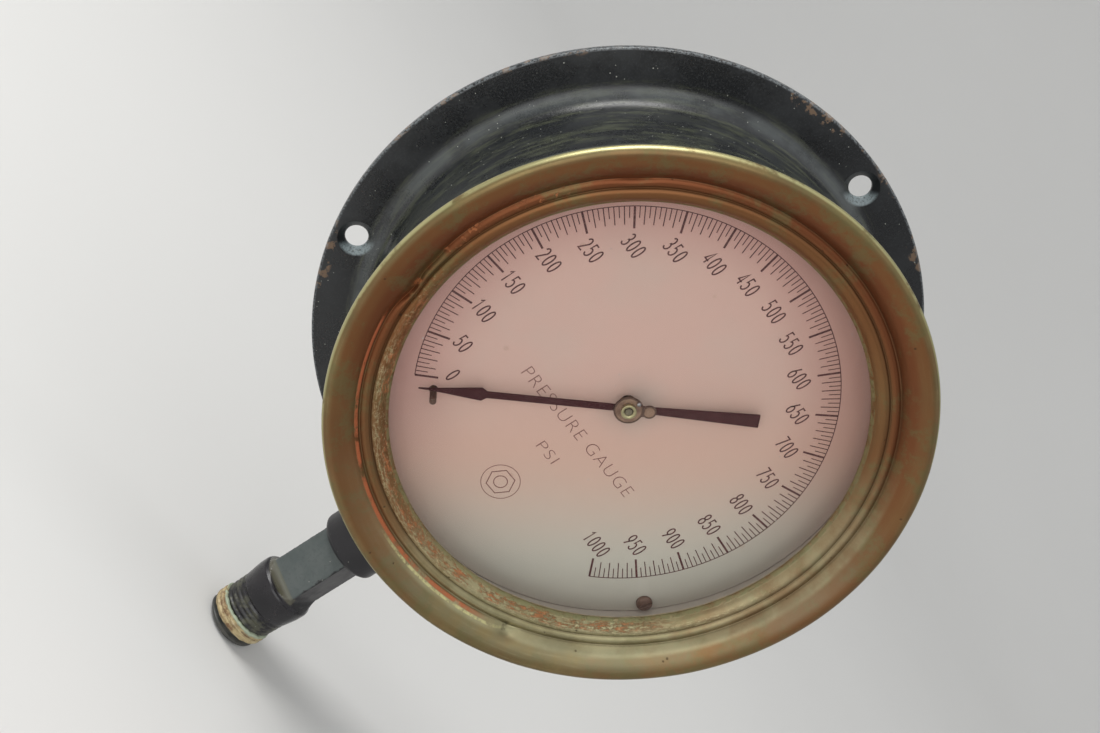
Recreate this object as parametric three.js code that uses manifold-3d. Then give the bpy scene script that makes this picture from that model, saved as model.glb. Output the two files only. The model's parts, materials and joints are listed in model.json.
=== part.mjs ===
// Surface-mounted pressure gauge of 6 inch nominal dial size with a threaded brass ring,
// built as its separate pieces: case, ring, glass, dial, pointer, socket with 1/2 NPT stem,
// Bourdon tube, link, sector and pinion movement, and the fasteners that hold them.
//
// Millimetres. +Z points to 12 o'clock, the stem points down, the dial faces -Y, and the origin
// is on the dial's axis in the flat back of the case. Depths named "deep" are measured from the
// dial's front face, positive into the case. Clock angles run clockwise from 12 o'clock.
import * as THREE from 'three';
import { mergeVertices } from 'three/addons/utils/BufferGeometryUtils.js';
import Module from 'manifold-3d';

const wasm = await Module();
wasm.setup();

// ---------------------------------------------------------------- driving dimensions
const GAP = 0.3; // clearance between pieces that touch
const ROUND = 48; // facets round the large turned pieces
const SMALL = 12; // facets round screws and pins

const DIAL_Y = -40.8; // dial's front face, in front of the flat back
const DIAL_R = 76.2; // 6 inch dial
const DIAL_T = 1;
const DIAL_SCREW_R = 73.2; // pitch radius of the three dial screws
const THIRDS = [0, 120, 240]; // clock angles of the dial screws and of the flange holes

const FLANGE_R = 96.6;
const FLANGE_T = 2.6;
const BOLT_R = 88.9; // 7 inch bolt circle
const BOLT_HOLE_R = 3.55;
const BOLT_SINK_R = 6;
const DRUM_R = 79.5;
const DRUM_BORE = 75.5;
const RIM_R = 84.8; // front rim of the case, threaded inside for the ring
const RIM_THREAD_R = 81.3;
const RIM_FRONT = -14.8; // deep
const GLASS_LEDGE = -6.4; // deep
const DIAL_BORE = 77.2;
const FLOOR_DEEP = 36.8;
const BACK_DEEP = -DIAL_Y;

const RING_R = 88.9; // 7 inch ring
const WINDOW_R = 70.1;
const RING_BACK = -11.5; // deep end of the ring's male thread
const GLASS_R = 80.5;
const GLASS_DEEP = [-10.4, -8];

const AXIS_DEEP = 17; // plane of the stem and of the Bourdon tube
const STEM_ROUND_R = 11.7;
const STEM_ROUND_END = -107.3;
const SHANK_FLATS = 14.5; // across flats of the square shank
const COLLAR_R = 11.1;
const COLLAR_Z = [-140.6, -131.3];
const THREAD_R = 10.67; // 1/2 NPT at the large end
const THREAD_PITCH = 1.814;
const THREAD_END = -156.4;
const PORT_R = 2.4;

const TUBE_R = 52; // radius of the Bourdon tube's centre line
const TUBE_WIDE = 14;
const TUBE_THICK = 7;
const TUBE_WALL = 1;
const TUBE_FROM = 190; // clock angle in the socket
const TUBE_TO = 475; // 115 degrees, one turn on

const GEAR_MODULE = 0.55;
const PINION_TEETH = 12;
const SECTOR_TEETH = 120; // of the full circle that the sector is cut from
const SECTOR_CLOCK = 146.6; // from the pointer's axis to the sector's pivot
const POINTER_REST = -137.2;
const POINTER_FULL = 135;
const NEEDLE_DEEP = [-3.7, -3];
const HUB_DISC_DEEP = [-4.6, -4];
const BOSS_FRONT = -5.8;
const ADJUSTER = [2.6, -2.7];
const TAIL_ARM = 10;
const LINK_LENGTH = 12;

const rad = THREE.MathUtils.degToRad;
const PINION_PITCH_R = GEAR_MODULE * PINION_TEETH / 2;
const SECTOR_PITCH_R = GEAR_MODULE * SECTOR_TEETH / 2;
const SECTOR_SWING = (POINTER_FULL - POINTER_REST) * PINION_TEETH / SECTOR_TEETH;

// Places in the plane of the dial, as [x, z].
const onClock = (angle, radius) => [radius * Math.sin(rad(angle)), radius * Math.cos(rad(angle))];
const PIVOT = onClock(SECTOR_CLOCK, PINION_PITCH_R + SECTOR_PITCH_R);
const TAIL_PIN = [
  PIVOT[0] + TAIL_ARM * Math.cos(rad(-SECTOR_SWING / 2)),
  PIVOT[1] + TAIL_ARM * Math.sin(rad(-SECTOR_SWING / 2)),
];
const TIP_PIN = [TAIL_PIN[0] + 0.14, TAIL_PIN[1] + LINK_LENGTH];
const PILLARS = [[-9, 5], [9, 7.5], [-16, -33], [18, -41]];
const MOUNT_SCREWS = [[-7, -37], [5, -37]];
const CASE_SCREWS = [[9.5, -53], [0, -28]];
const SPRING_END = -30; // degrees anticlockwise from 3 o'clock
const SPRING_STUD = [9.25 * Math.cos(rad(SPRING_END)), 9.25 * Math.sin(rad(SPRING_END))];

// ---------------------------------------------------------------- materials
const finish = (color, roughness, metalness, more = {}) =>
  new THREE.MeshStandardMaterial({ color, roughness, metalness, ...more });
const BLACK_ENAMEL = finish(0x24282a, 0.45, 0.1);
const AGED_BRASS = finish(0x8c7443, 0.42, 0.85);
const CLEAN_BRASS = finish(0xb08d4e, 0.32, 0.95);
const BRONZE = finish(0x9a6b3c, 0.35, 0.95);
const STEEL = finish(0x85868a, 0.3, 1);
const SILVERED = finish(0xc9c5bd, 0.5, 0.3);
const BLACK_POINTER = finish(0x241c1d, 0.55, 0.2);
const CLEAR_GLASS = finish(0xe6efed, 0.05, 0, { transparent: true, opacity: 0.25 });
const GREY_PACKING = finish(0x5b594f, 0.85, 0);

// ---------------------------------------------------------------- shaping helpers
const assembly = new THREE.Group();

function addPiece(name, geometry, material, parent = assembly) {
  const mesh = new THREE.Mesh(geometry, material);
  mesh.name = name;
  parent.add(mesh);
  return mesh;
}

function toSolid(geometry) {
  const bare = new THREE.BufferGeometry();
  bare.setAttribute('position', geometry.getAttribute('position').clone());
  if (geometry.index) bare.setIndex(geometry.index.clone());
  const merged = mergeVertices(bare, 1e-4);
  const index = merged.index.array;
  const kept = [];
  for (let i = 0; i < index.length; i += 3) {
    const [a, b, c] = [index[i], index[i + 1], index[i + 2]];
    if (a !== b && b !== c && c !== a) kept.push(a, b, c);
  }
  return new wasm.Manifold(new wasm.Mesh({
    numProp: 3,
    vertProperties: new Float32Array(merged.getAttribute('position').array),
    triVerts: new Uint32Array(kept),
  }));
}

function toGeometry(solid) {
  const mesh = solid.getMesh();
  const geometry = new THREE.BufferGeometry();
  geometry.setAttribute('position', new THREE.BufferAttribute(mesh.vertProperties, mesh.numProp));
  geometry.setIndex(new THREE.BufferAttribute(mesh.triVerts, 1));
  return geometry;
}

const joined = (...parts) => toGeometry(parts.map(toSolid).reduce((all, part) => all.add(part)));
const cutBy = (body, ...tools) =>
  toGeometry(tools.map(toSolid).reduce((all, tool) => all.subtract(tool), toSolid(body)));

// A turned piece about the dial's axis, from [radius, deep] points. A profile that stays off
// the axis is closed on itself.
function turned(profile, facets = ROUND) {
  const points = profile.map(([r, deep]) => new THREE.Vector2(r, deep));
  if (THREE.ShapeUtils.area(points) < 0) points.reverse();
  if (points.every((point) => point.x > 0)) {
    points.push(points[0].clone());
  } else {
    while (points[0].x > 0 || points[points.length - 1].x > 0) points.push(points.shift());
  }
  const geometry = new THREE.LatheGeometry(points, facets);
  return geometry.translate(0, DIAL_Y, 0);
}

// A turned piece about a line parallel to the dial's axis through [x, z].
const turnedAt = ([x, z], profile, facets = SMALL) => turned(profile, facets).translate(x, 0, z);

// A turned piece about the stem's axis, from [radius, z] points.
function turnedOnStem(profile, facets = 24) {
  const upright = turned(profile, facets).translate(0, -DIAL_Y, 0);
  return upright.rotateX(Math.PI / 2).translate(0, DIAL_Y + AXIS_DEEP, 0);
}

const rod = (at, radius, from, to, facets = SMALL) =>
  turnedAt(at, [[0, from], [radius, from], [radius, to], [0, to]], facets);

const stemRod = (radius, from, to, facets = 24) =>
  turnedOnStem([[0, from], [radius, from], [radius, to], [0, to]], facets);

function boxBetween([x0, x1], [deep0, deep1], [z0, z1]) {
  const box = new THREE.BoxGeometry(x1 - x0, deep1 - deep0, z1 - z0);
  return box.translate((x0 + x1) / 2, DIAL_Y + (deep0 + deep1) / 2, (z0 + z1) / 2);
}

// A flat piece: an outline in the dial's plane, given thickness between two depths.
function flatPiece(outline, [deep0, deep1], holes = []) {
  const shape = new THREE.Shape(outline.map(([x, z]) => new THREE.Vector2(x, z)));
  for (const { at: [x, z], radius, facets = SMALL } of holes) {
    const hole = new THREE.Path();
    const corners = [];
    for (let i = 0; i < facets; i += 1) {
      const turn = 2 * Math.PI * i / facets;
      corners.push(new THREE.Vector2(x + radius * Math.cos(turn), z + radius * Math.sin(turn)));
    }
    hole.setFromPoints(corners);
    shape.holes.push(hole);
  }
  const geometry = new THREE.ExtrudeGeometry(shape, { depth: deep1 - deep0, bevelEnabled: false });
  return geometry.rotateX(Math.PI / 2).translate(0, DIAL_Y + deep1, 0);
}

// The taut outline round circles { at, radius } that are listed anticlockwise.
function tautOutline(circles, arcSteps = 5) {
  const outline = [];
  const tangents = circles.map((from, i) => {
    const to = circles[(i + 1) % circles.length];
    const dx = to.at[0] - from.at[0];
    const dz = to.at[1] - from.at[1];
    return Math.atan2(dz, dx) - Math.acos((from.radius - to.radius) / Math.hypot(dx, dz));
  });
  circles.forEach(({ at, radius }, i) => {
    const start = tangents[(i + circles.length - 1) % circles.length];
    let sweep = tangents[i] - start;
    while (sweep < 0) sweep += 2 * Math.PI;
    for (let step = 0; step <= arcSteps; step += 1) {
      const turn = start + sweep * step / arcSteps;
      outline.push([at[0] + radius * Math.cos(turn), at[1] + radius * Math.sin(turn)]);
    }
  });
  return outline;
}

function arcPoints([centreX, centreZ], radius, from, to, steps) {
  const points = [];
  for (let i = 0; i <= steps; i += 1) {
    const turn = rad(from + (to - from) * i / steps);
    points.push([centreX + radius * Math.cos(turn), centreZ + radius * Math.sin(turn)]);
  }
  return points;
}

// ---------------------------------------------------------------- case
function caseGeometry() {
  const flangeFront = BACK_DEEP - FLANGE_T;
  const filletR = 7;
  const shell = turned([
    [0, BACK_DEEP], [FLANGE_R - 0.6, BACK_DEEP], [FLANGE_R, BACK_DEEP - 0.6],
    [FLANGE_R, flangeFront + 0.6], [FLANGE_R - 0.6, flangeFront],
    ...arcPoints([DRUM_R + filletR, flangeFront - filletR], filletR, 90, 180, 4),
    [DRUM_R, 3], [DRUM_R + 1.6, -1.5], [RIM_R, -5.5],
    [RIM_R, RIM_FRONT + 0.5], [RIM_R - 0.5, RIM_FRONT], [RIM_THREAD_R, RIM_FRONT],
    [RIM_THREAD_R, GLASS_LEDGE], [DIAL_BORE, GLASS_LEDGE],
    [DIAL_BORE, DIAL_T + GAP], [DRUM_BORE, DIAL_T + GAP],
    [DRUM_BORE, FLOOR_DEEP - 3], [DRUM_BORE - 3, FLOOR_DEEP], [0, FLOOR_DEEP],
  ]);
  const lugs = THIRDS.map((angle) => rod(onClock(angle, DIAL_SCREW_R - 1), 5, DIAL_T + GAP, 10, 16));
  const pads = CASE_SCREWS.map((at) => rod(at, 5.5, 26.8, FLOOR_DEEP + 1, 16));
  const stemPad = stemRod(13.5, -83, -77);
  const bolts = THIRDS.map((angle) => turnedAt(onClock(angle, BOLT_R), [
    [0, flangeFront - 1], [BOLT_SINK_R + 1, flangeFront - 1], [BOLT_HOLE_R, flangeFront + 1.8],
    [BOLT_HOLE_R, BACK_DEEP + 1], [0, BACK_DEEP + 1],
  ], 20));
  const caseScrewHoles = CASE_SCREWS.map((at) => turnedAt(at, [
    [0, 25], [2.35, 25], [2.35, BACK_DEEP - 3.2], [5.2, BACK_DEEP - 0.2],
    [5.2, BACK_DEEP + 1], [0, BACK_DEEP + 1],
  ], 16));
  const dialScrewHoles = THIRDS.map((angle) => rod(onClock(angle, DIAL_SCREW_R), 1.6, 0, 8.5));
  return cutBy(
    joined(shell, ...lugs, ...pads, stemPad), stemRod(STEM_ROUND_R + GAP, -100, -60),
    ...bolts, ...caseScrewHoles, ...dialScrewHoles,
  );
}
addPiece('case', caseGeometry(), BLACK_ENAMEL);

// ---------------------------------------------------------------- ring, glass and packings
// The ring's male thread screws into the rim; the slip ring keeps it from dragging the glass.
addPiece('ring', turned([
  [WINDOW_R, RING_BACK], [WINDOW_R, -12.2], [70.6, -12.9], [72, -14.5], [73.6, -15.3], [74.8, -15],
  [75.2, -14.3], [75.8, -14.9], [76.8, -15.3], [77.9, -14.9], [78.4, -14.3],
  [79.2, -16], [80.8, -17.6], [83.2, -19], [85.6, -19.9], [87.2, -20.1],
  [88.5, -19.2], [RING_R, -18.2], [88.6, -17.2], [87.4, -15.9], [86.6, RIM_FRONT - GAP],
  [RIM_THREAD_R - 0.35, RIM_FRONT - GAP], [RIM_THREAD_R - 0.35, RING_BACK],
]), AGED_BRASS);

// A flat washer or disc about the dial's axis.
const washer = (innerR, outerR, [from, to]) =>
  turned([[innerR, from], [outerR, from], [outerR, to], [innerR, to]]);
addPiece('slip_ring', washer(WINDOW_R + 0.5, GLASS_R, [RING_BACK + GAP, GLASS_DEEP[0] - GAP]), GREY_PACKING);
addPiece('glass', washer(0, GLASS_R, GLASS_DEEP), CLEAR_GLASS);
addPiece('gasket', washer(74, GLASS_R, [GLASS_DEEP[1] + GAP, GLASS_LEDGE - GAP]), GREY_PACKING);

// ---------------------------------------------------------------- dial, its screws and stop pin
const STOP_PIN = onClock(-139, 57.6);
const dialHoles = [
  { at: [0, 0], radius: 2.6 },
  { at: STOP_PIN, radius: 1.05 + GAP },
  ...THIRDS.map((angle) => ({ at: onClock(angle, DIAL_SCREW_R), radius: 1.9 })),
];
const dialOutline = arcPoints([0, 0], DIAL_R, 0, 360, ROUND).slice(1);
addPiece('dial', flatPiece(dialOutline, [0, DIAL_T], dialHoles), SILVERED);
addPiece('dial_liner', washer(DIAL_R + GAP, DIAL_BORE - GAP, [GLASS_LEDGE, DIAL_T]), SILVERED);

function headedScrew(at, headR, head, shankR, tip) {
  const [top, under] = head;
  const crown = (under - top) * 0.45;
  const screw = turnedAt(at, [
    [0, top], [headR * 0.6, top], [headR, top + crown], [headR, under],
    [shankR, under], [shankR, tip], [0, tip],
  ]);
  const slot = boxBetween(
    [at[0] - headR - 1, at[0] + headR + 1], [top - 1, top + crown],
    [at[1] - headR * 0.13, at[1] + headR * 0.13],
  );
  return cutBy(screw, slot);
}
THIRDS.forEach((angle, i) => {
  const screw = headedScrew(onClock(angle, DIAL_SCREW_R), 2.6, [-2.2, -GAP], 1.3, 8);
  addPiece(`dial_screw_${i + 1}`, screw, STEEL);
});
addPiece('stop_pin', turnedAt(STOP_PIN, [
  [0, -7.6], [0.75, -7.6], [1.05, -7.3], [1.05, DIAL_T], [0, DIAL_T],
]), CLEAN_BRASS);

// ---------------------------------------------------------------- socket and stem
// A ring-shaped bar of flat oval section about the dial's axis, between two clock angles.
function bentBar(grow, from, to, facets) {
  const wide = TUBE_WIDE / 2 + grow;
  const thick = TUBE_THICK / 2 + grow;
  const steps = Math.ceil((to - from) / 9);
  const positions = [];
  for (let i = 0; i <= steps; i += 1) {
    const angle = from + (to - from) * i / steps;
    for (let j = 0; j < facets; j += 1) {
      const turn = 2 * Math.PI * (j + 0.5) / facets;
      const [x, z] = onClock(angle, TUBE_R + thick * Math.cos(turn));
      positions.push(x, DIAL_Y + AXIS_DEEP + wide * Math.sin(turn), z);
    }
  }
  return { positions, steps, facets };
}

// Joins rings of points into a closed skin with flat ends.
function skinned({ positions, steps, facets }) {
  const index = [];
  for (let i = 0; i < steps; i += 1) {
    for (let j = 0; j < facets; j += 1) {
      const a = i * facets + j;
      const b = i * facets + (j + 1) % facets;
      index.push(a, b + facets, b, a, a + facets, b + facets);
    }
  }
  const last = steps * facets;
  for (let j = 1; j < facets - 1; j += 1) {
    index.push(0, j, j + 1, last, last + j + 1, last + j);
  }
  const geometry = new THREE.BufferGeometry();
  geometry.setAttribute('position', new THREE.Float32BufferAttribute(positions, 3));
  geometry.setIndex(index);
  return geometry;
}
const tubeBar = (grow, from, to, facets = 12) => skinned(bentBar(grow, from, to, facets));

function threadProfile() {
  const turns = 7;
  const points = [];
  for (let i = 0; i < turns; i += 1) {
    const crest = THREAD_END + 1.6 + THREAD_PITCH * i;
    const crestR = THREAD_R - (COLLAR_Z[0] - crest) / 32;
    points.push([crestR - 1.2, crest - THREAD_PITCH / 2], [crestR, crest - 0.2], [crestR, crest + 0.2]);
  }
  return points;
}

function socketGeometry() {
  const stem = turnedOnStem([
    [0, THREAD_END], [8.6, THREAD_END], ...threadProfile(),
    [9.7, COLLAR_Z[0] - 1.4], [10.3, COLLAR_Z[0]],
    [COLLAR_R, COLLAR_Z[0] + 5.4], [COLLAR_R, COLLAR_Z[1] - 1.2],
    [COLLAR_R - 1, COLLAR_Z[1]], [6, COLLAR_Z[1] + 1], [6, STEM_ROUND_END - 1],
    [STEM_ROUND_R - 1.5, STEM_ROUND_END], [STEM_ROUND_R, STEM_ROUND_END + 2],
    [STEM_ROUND_R, -58], [0, -58],
  ]);
  const shankHeight = STEM_ROUND_END - COLLAR_Z[1] + 2;
  const shank = new THREE.BoxGeometry(SHANK_FLATS, SHANK_FLATS, shankHeight);
  shank.rotateZ(Math.PI / 4).translate(0, DIAL_Y + AXIS_DEEP, (STEM_ROUND_END + COLLAR_Z[1]) / 2);
  const block = boxBetween([-14, 14], [7.5, 26.5], [-62, -44]);
  const bracket = boxBetween([-11, 11], [16.5, 26.5], [-45, -22]);
  const body = joined(stem, shank, block, bracket);
  const pocket = tubeBar(GAP, 178, 206);
  const port = stemRod(PORT_R, THREAD_END - 1, -50, SMALL);
  const mountHoles = MOUNT_SCREWS.map((at) => rod(at, 1.6, 15, 23));
  const caseHoles = CASE_SCREWS.map((at) => rod(at, 2.35, 19, 28));
  return cutBy(body, pocket, port, ...mountHoles, ...caseHoles);
}
addPiece('socket', socketGeometry(), BLACK_ENAMEL);

CASE_SCREWS.forEach((at, i) => {
  const screw = turnedAt(at, [
    [0, 20], [2, 20], [2, BACK_DEEP - 3.2], [4.6, BACK_DEEP - 0.5], [0, BACK_DEEP - 0.5],
  ]);
  const slot = boxBetween(
    [at[0] - 6, at[0] + 6], [BACK_DEEP - 1.7, BACK_DEEP], [at[1] - 0.6, at[1] + 0.6],
  );
  addPiece(`socket_screw_${i + 1}`, cutBy(screw, slot), STEEL);
});

// ---------------------------------------------------------------- Bourdon tube and its tip
const tubeShell = cutBy(
  tubeBar(0, TUBE_FROM, TUBE_TO), tubeBar(-TUBE_WALL, TUBE_FROM - 9, TUBE_TO + 9, 8),
);
addPiece('bourdon_tube', tubeShell, BRONZE);

function tubeTipGeometry() {
  const half = 2.8;
  const centreClock = TUBE_TO - 360 + 3.63;
  const plug = new THREE.BoxGeometry(2 * half, TUBE_WIDE + 2, TUBE_THICK + 3);
  plug.translate(0, DIAL_Y + AXIS_DEEP, TUBE_R).rotateY(rad(centreClock));
  const lug = flatPiece(tautOutline([
    { at: TIP_PIN, radius: 3 }, { at: onClock(centreClock, TUBE_R), radius: 2.6 },
  ]), [12.8, 15.4]);
  return cutBy(joined(plug, lug), rod(TIP_PIN, 1.1, 12, 17));
}
addPiece('tube_tip', tubeTipGeometry(), BRONZE);
addPiece('tip_pin', turnedAt(TIP_PIN, [
  [0, 9.9], [1.7, 9.9], [1.7, 10.8], [0.8, 10.8], [0.8, 15.4], [0, 15.4],
]), STEEL);

// ---------------------------------------------------------------- movement
const plateOutline = tautOutline([
  { at: [0, 2], radius: 13 }, { at: [-16, -33], radius: 6 },
  { at: [PIVOT[0] - 3, PIVOT[1] - 6], radius: 7 }, { at: [PIVOT[0] + 1, PIVOT[1]], radius: 6 },
], 6);
const FRONT_PLATE = [4, 5.6];
const BACK_PLATE = [14.6, 16.2];
const pillarHoles = PILLARS.map((at) => ({ at, radius: 1.6 }));
const journals = [{ at: [0, 0], radius: 1.5 }, { at: PIVOT, radius: 1.5 }];
addPiece('front_plate', flatPiece(plateOutline, FRONT_PLATE, [
  ...pillarHoles, ...journals, { at: SPRING_STUD, radius: 1.1 },
]), CLEAN_BRASS);
addPiece('back_plate', flatPiece(plateOutline, BACK_PLATE, [
  ...pillarHoles, ...journals, ...MOUNT_SCREWS.map((at) => ({ at, radius: 1.6 })),
]), CLEAN_BRASS);
PILLARS.forEach((at, i) => {
  const [from, to] = [FRONT_PLATE[1] + GAP, BACK_PLATE[0] - GAP];
  addPiece(`pillar_${i + 1}`, turnedAt(at, [
    [0, from + 2.6], [1.45, from + 2.6], [1.45, from], [2.4, from], [2.4, to],
    [1.3, to], [1.3, BACK_PLATE[1]], [0, BACK_PLATE[1]],
  ]), CLEAN_BRASS);
  addPiece(`plate_screw_${i + 1}`, headedScrew(at, 2.2, [2.4, FRONT_PLATE[0] - GAP], 1.1, from + 2.3), STEEL);
});
MOUNT_SCREWS.forEach((at, i) => {
  addPiece(`movement_screw_${i + 1}`, headedScrew(at, 2.5, [12.6, BACK_PLATE[0] - GAP], 1.3, 22), STEEL);
});

// Half the angle that an involute tooth of 20 degree pressure angle fills at a radius.
function toothHalfAngle(teeth, radius) {
  const backlash = 0.1;
  const pitchR = GEAR_MODULE * teeth / 2;
  const baseR = pitchR * Math.cos(rad(20));
  const involute = (angle) => Math.tan(angle) - angle;
  const atPitch = (Math.PI * GEAR_MODULE / 2 - backlash) / (2 * pitchR);
  const pressure = Math.acos(Math.min(1, baseR / Math.max(radius, baseR)));
  return atPitch + involute(rad(20)) - involute(pressure);
}

// Points of one tooth, anticlockwise, about [0, 0] with its centre line at an angle.
function toothPoints(teeth, rootR, tipR, centreLine) {
  const radii = [rootR, (rootR + tipR) / 2, (rootR + 3 * tipR) / 4, tipR];
  const flank = (side) => radii.map((r) => {
    const turn = centreLine + side * toothHalfAngle(teeth, r);
    return [r * Math.cos(turn), r * Math.sin(turn)];
  });
  return [...flank(-1), ...flank(1).reverse()];
}

function sectorGeometry() {
  const toPinion = 180 / Math.PI * Math.atan2(-PIVOT[1], -PIVOT[0]);
  const pitchAngle = 360 / SECTOR_TEETH;
  const rootR = SECTOR_PITCH_R - 1.25 * GEAR_MODULE;
  const tipR = SECTOR_PITCH_R + 0.65 * GEAR_MODULE;
  const firstSpace = toPinion - SECTOR_SWING;
  const firstTooth = firstSpace - 1.5 * pitchAngle + (SECTOR_SWING % pitchAngle);
  const outline = [];
  for (let i = 0; firstTooth + i * pitchAngle < toPinion + 2 * pitchAngle; i += 1) {
    outline.push(...toothPoints(SECTOR_TEETH, rootR, tipR, rad(firstTooth + i * pitchAngle)));
  }
  const lastTooth = firstTooth + (outline.length / 8 - 1) * pitchAngle;
  const tailAngle = -SECTOR_SWING / 2;
  const at = (radius, angle) => [radius * Math.cos(rad(angle)), radius * Math.sin(rad(angle))];
  outline.push(
    at(rootR, lastTooth + 1.6), at(rootR - 3.4, lastTooth + 1.6), at(rootR - 3.6, lastTooth - 6),
    at(8, toPinion - 5), ...arcPoints([0, 0], 4.2, toPinion + 20, tailAngle + 300, 6),
    ...arcPoints(at(TAIL_ARM, tailAngle), 2.4, tailAngle - 80, tailAngle + 80, 5),
    ...arcPoints([0, 0], 4.2, tailAngle + 45, firstTooth - 30, 2), at(8, firstTooth + 2),
    at(rootR - 3.6, firstTooth + 6), at(rootR - 3.4, firstTooth - 1.6), at(rootR, firstTooth - 1.6),
  );
  return flatPiece(outline.map(([x, z]) => [x + PIVOT[0], z + PIVOT[1]]), [9.2, 10.8], [
    { at: PIVOT, radius: 1.9 }, { at: TAIL_PIN, radius: 1.1 },
  ]);
}
addPiece('sector', sectorGeometry(), CLEAN_BRASS);
addPiece('sector_arbor', turnedAt(PIVOT, [
  [0, FRONT_PLATE[0]], [1.1, FRONT_PLATE[0]], [1.1, 6.2], [1.6, 6.2], [1.6, 13.8],
  [1.1, 13.8], [1.1, BACK_PLATE[1]], [0, BACK_PLATE[1]],
]), STEEL);
addPiece('tail_pin', turnedAt(TAIL_PIN, [
  [0, 7.9], [1.7, 7.9], [1.7, 8.9], [0.8, 8.9], [0.8, 12.6], [0, 12.6],
]), STEEL);
addPiece('link', flatPiece(tautOutline([
  { at: TAIL_PIN, radius: 2.1 }, { at: [TAIL_PIN[0], TAIL_PIN[1] + LINK_LENGTH], radius: 2.3 },
]), [11.2, 12.4], [
  { at: TAIL_PIN, radius: 1.1 }, { at: [TAIL_PIN[0], TAIL_PIN[1] + LINK_LENGTH], radius: 1.3 },
]), STEEL);

function pinionGeometry() {
  const towardsSector = Math.atan2(PIVOT[1], PIVOT[0]);
  const rootR = PINION_PITCH_R - GEAR_MODULE;
  const tipR = PINION_PITCH_R + 0.9 * GEAR_MODULE;
  const outline = [];
  for (let i = 0; i < PINION_TEETH; i += 1) {
    const centreLine = towardsSector + 2 * Math.PI * i / PINION_TEETH;
    outline.push(...toothPoints(PINION_TEETH, rootR, tipR, centreLine));
  }
  const arbor = turnedAt([0, 0], [
    [0, BACK_PLATE[1]], [0.8, BACK_PLATE[1]], [0.8, 14.2], [1.5, 14.2], [1.5, 8.5],
    [2, 7.8], [2, 6.4], [1.2, 6], [1.1, BOSS_FRONT + 0.2], [0, BOSS_FRONT + 0.2],
  ]);
  return joined(flatPiece(outline, [8, 12]), arbor);
}
addPiece('pinion', pinionGeometry(), STEEL);

function hairspringGeometry() {
  const turns = 4;
  const stepsPerTurn = 16;
  const [innerR, outerR, halfThick] = [2.6, 8, 0.14];
  const steps = turns * stepsPerTurn;
  const side = (offset) => Array.from({ length: steps + 1 }, (_, i) => {
    const radius = innerR + (outerR - innerR) * i / steps + offset;
    const turn = rad(SPRING_END) + 2 * Math.PI * i / stepsPerTurn;
    return [radius * Math.cos(turn), radius * Math.sin(turn)];
  });
  return flatPiece([...side(halfThick), ...side(-halfThick).reverse()], [6.6, 7.5]);
}
addPiece('hairspring', hairspringGeometry(), BRONZE);
addPiece('hairspring_stud', rod(SPRING_STUD, 0.8, FRONT_PLATE[0], 8), CLEAN_BRASS);

// ---------------------------------------------------------------- pointer
const pointer = new THREE.Group();
pointer.rotation.y = rad(POINTER_REST);
assembly.add(pointer);

const pointerOutline = [
  ...arcPoints([0, 0], 3.9, -75, 75, 5), [1.1, 5.6],
  [1.05, 41.9], [2.15, 43.6], [0.5, 57], [0.2, 59.2], [0.12, 62.1],
];
const mirrored = pointerOutline.slice(6).map(([x, z]) => [-x, z]).reverse();
const tail = [[-2.2, -39.4], [2.2, -39.4], [1.2, -8.4]];
const leftHub = arcPoints([0, 0], 3.9, 105, 255, 5);
const needle = [...pointerOutline, ...mirrored, ...leftHub, [-1.2, -8.4], ...tail];
addPiece('pointer', flatPiece(needle, NEEDLE_DEEP, [{ at: [0, 0], radius: 2.7 }]), BLACK_POINTER, pointer);

function pointerHubGeometry() {
  const pear = flatPiece(tautOutline([
    { at: [0, 0], radius: 4.5 }, { at: [0, -6.2], radius: 2.2 },
  ], 10), HUB_DISC_DEEP);
  const boss = rod([0, 0], 2.4, BOSS_FRONT, -1.2, 20);
  const bore = rod([0, 0], 1.45, -8, 0);
  const screwHole = rod(ADJUSTER, 0.5, -6, HUB_DISC_DEEP[1] + 0.3);
  return cutBy(joined(pear, boss), bore, screwHole);
}
addPiece('pointer_hub', pointerHubGeometry(), AGED_BRASS, pointer);
addPiece('pointer_adjusting_screw', turnedAt(ADJUSTER, [
  [0, -5.6], [0.6, -5.6], [0.7, -5.3], [0.7, -4.75], [0.3, -4.75], [0.3, -4.05], [0, -4.05],
], 10), STEEL, pointer);

export default assembly;
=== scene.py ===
"""Looks of the flanged pressure gauge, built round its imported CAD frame.

Lengths in the pieces are millimetres, as in the CAD, and become metres when a mesh is placed.
"deep" is a depth behind the dial's front face and "clock" an angle from 12 o'clock, clockwise.
"""

import json
from math import atan2, cos, degrees, exp, pi, radians, sin

import bmesh
import bpy
from mathutils import Matrix, Vector, noise


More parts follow.
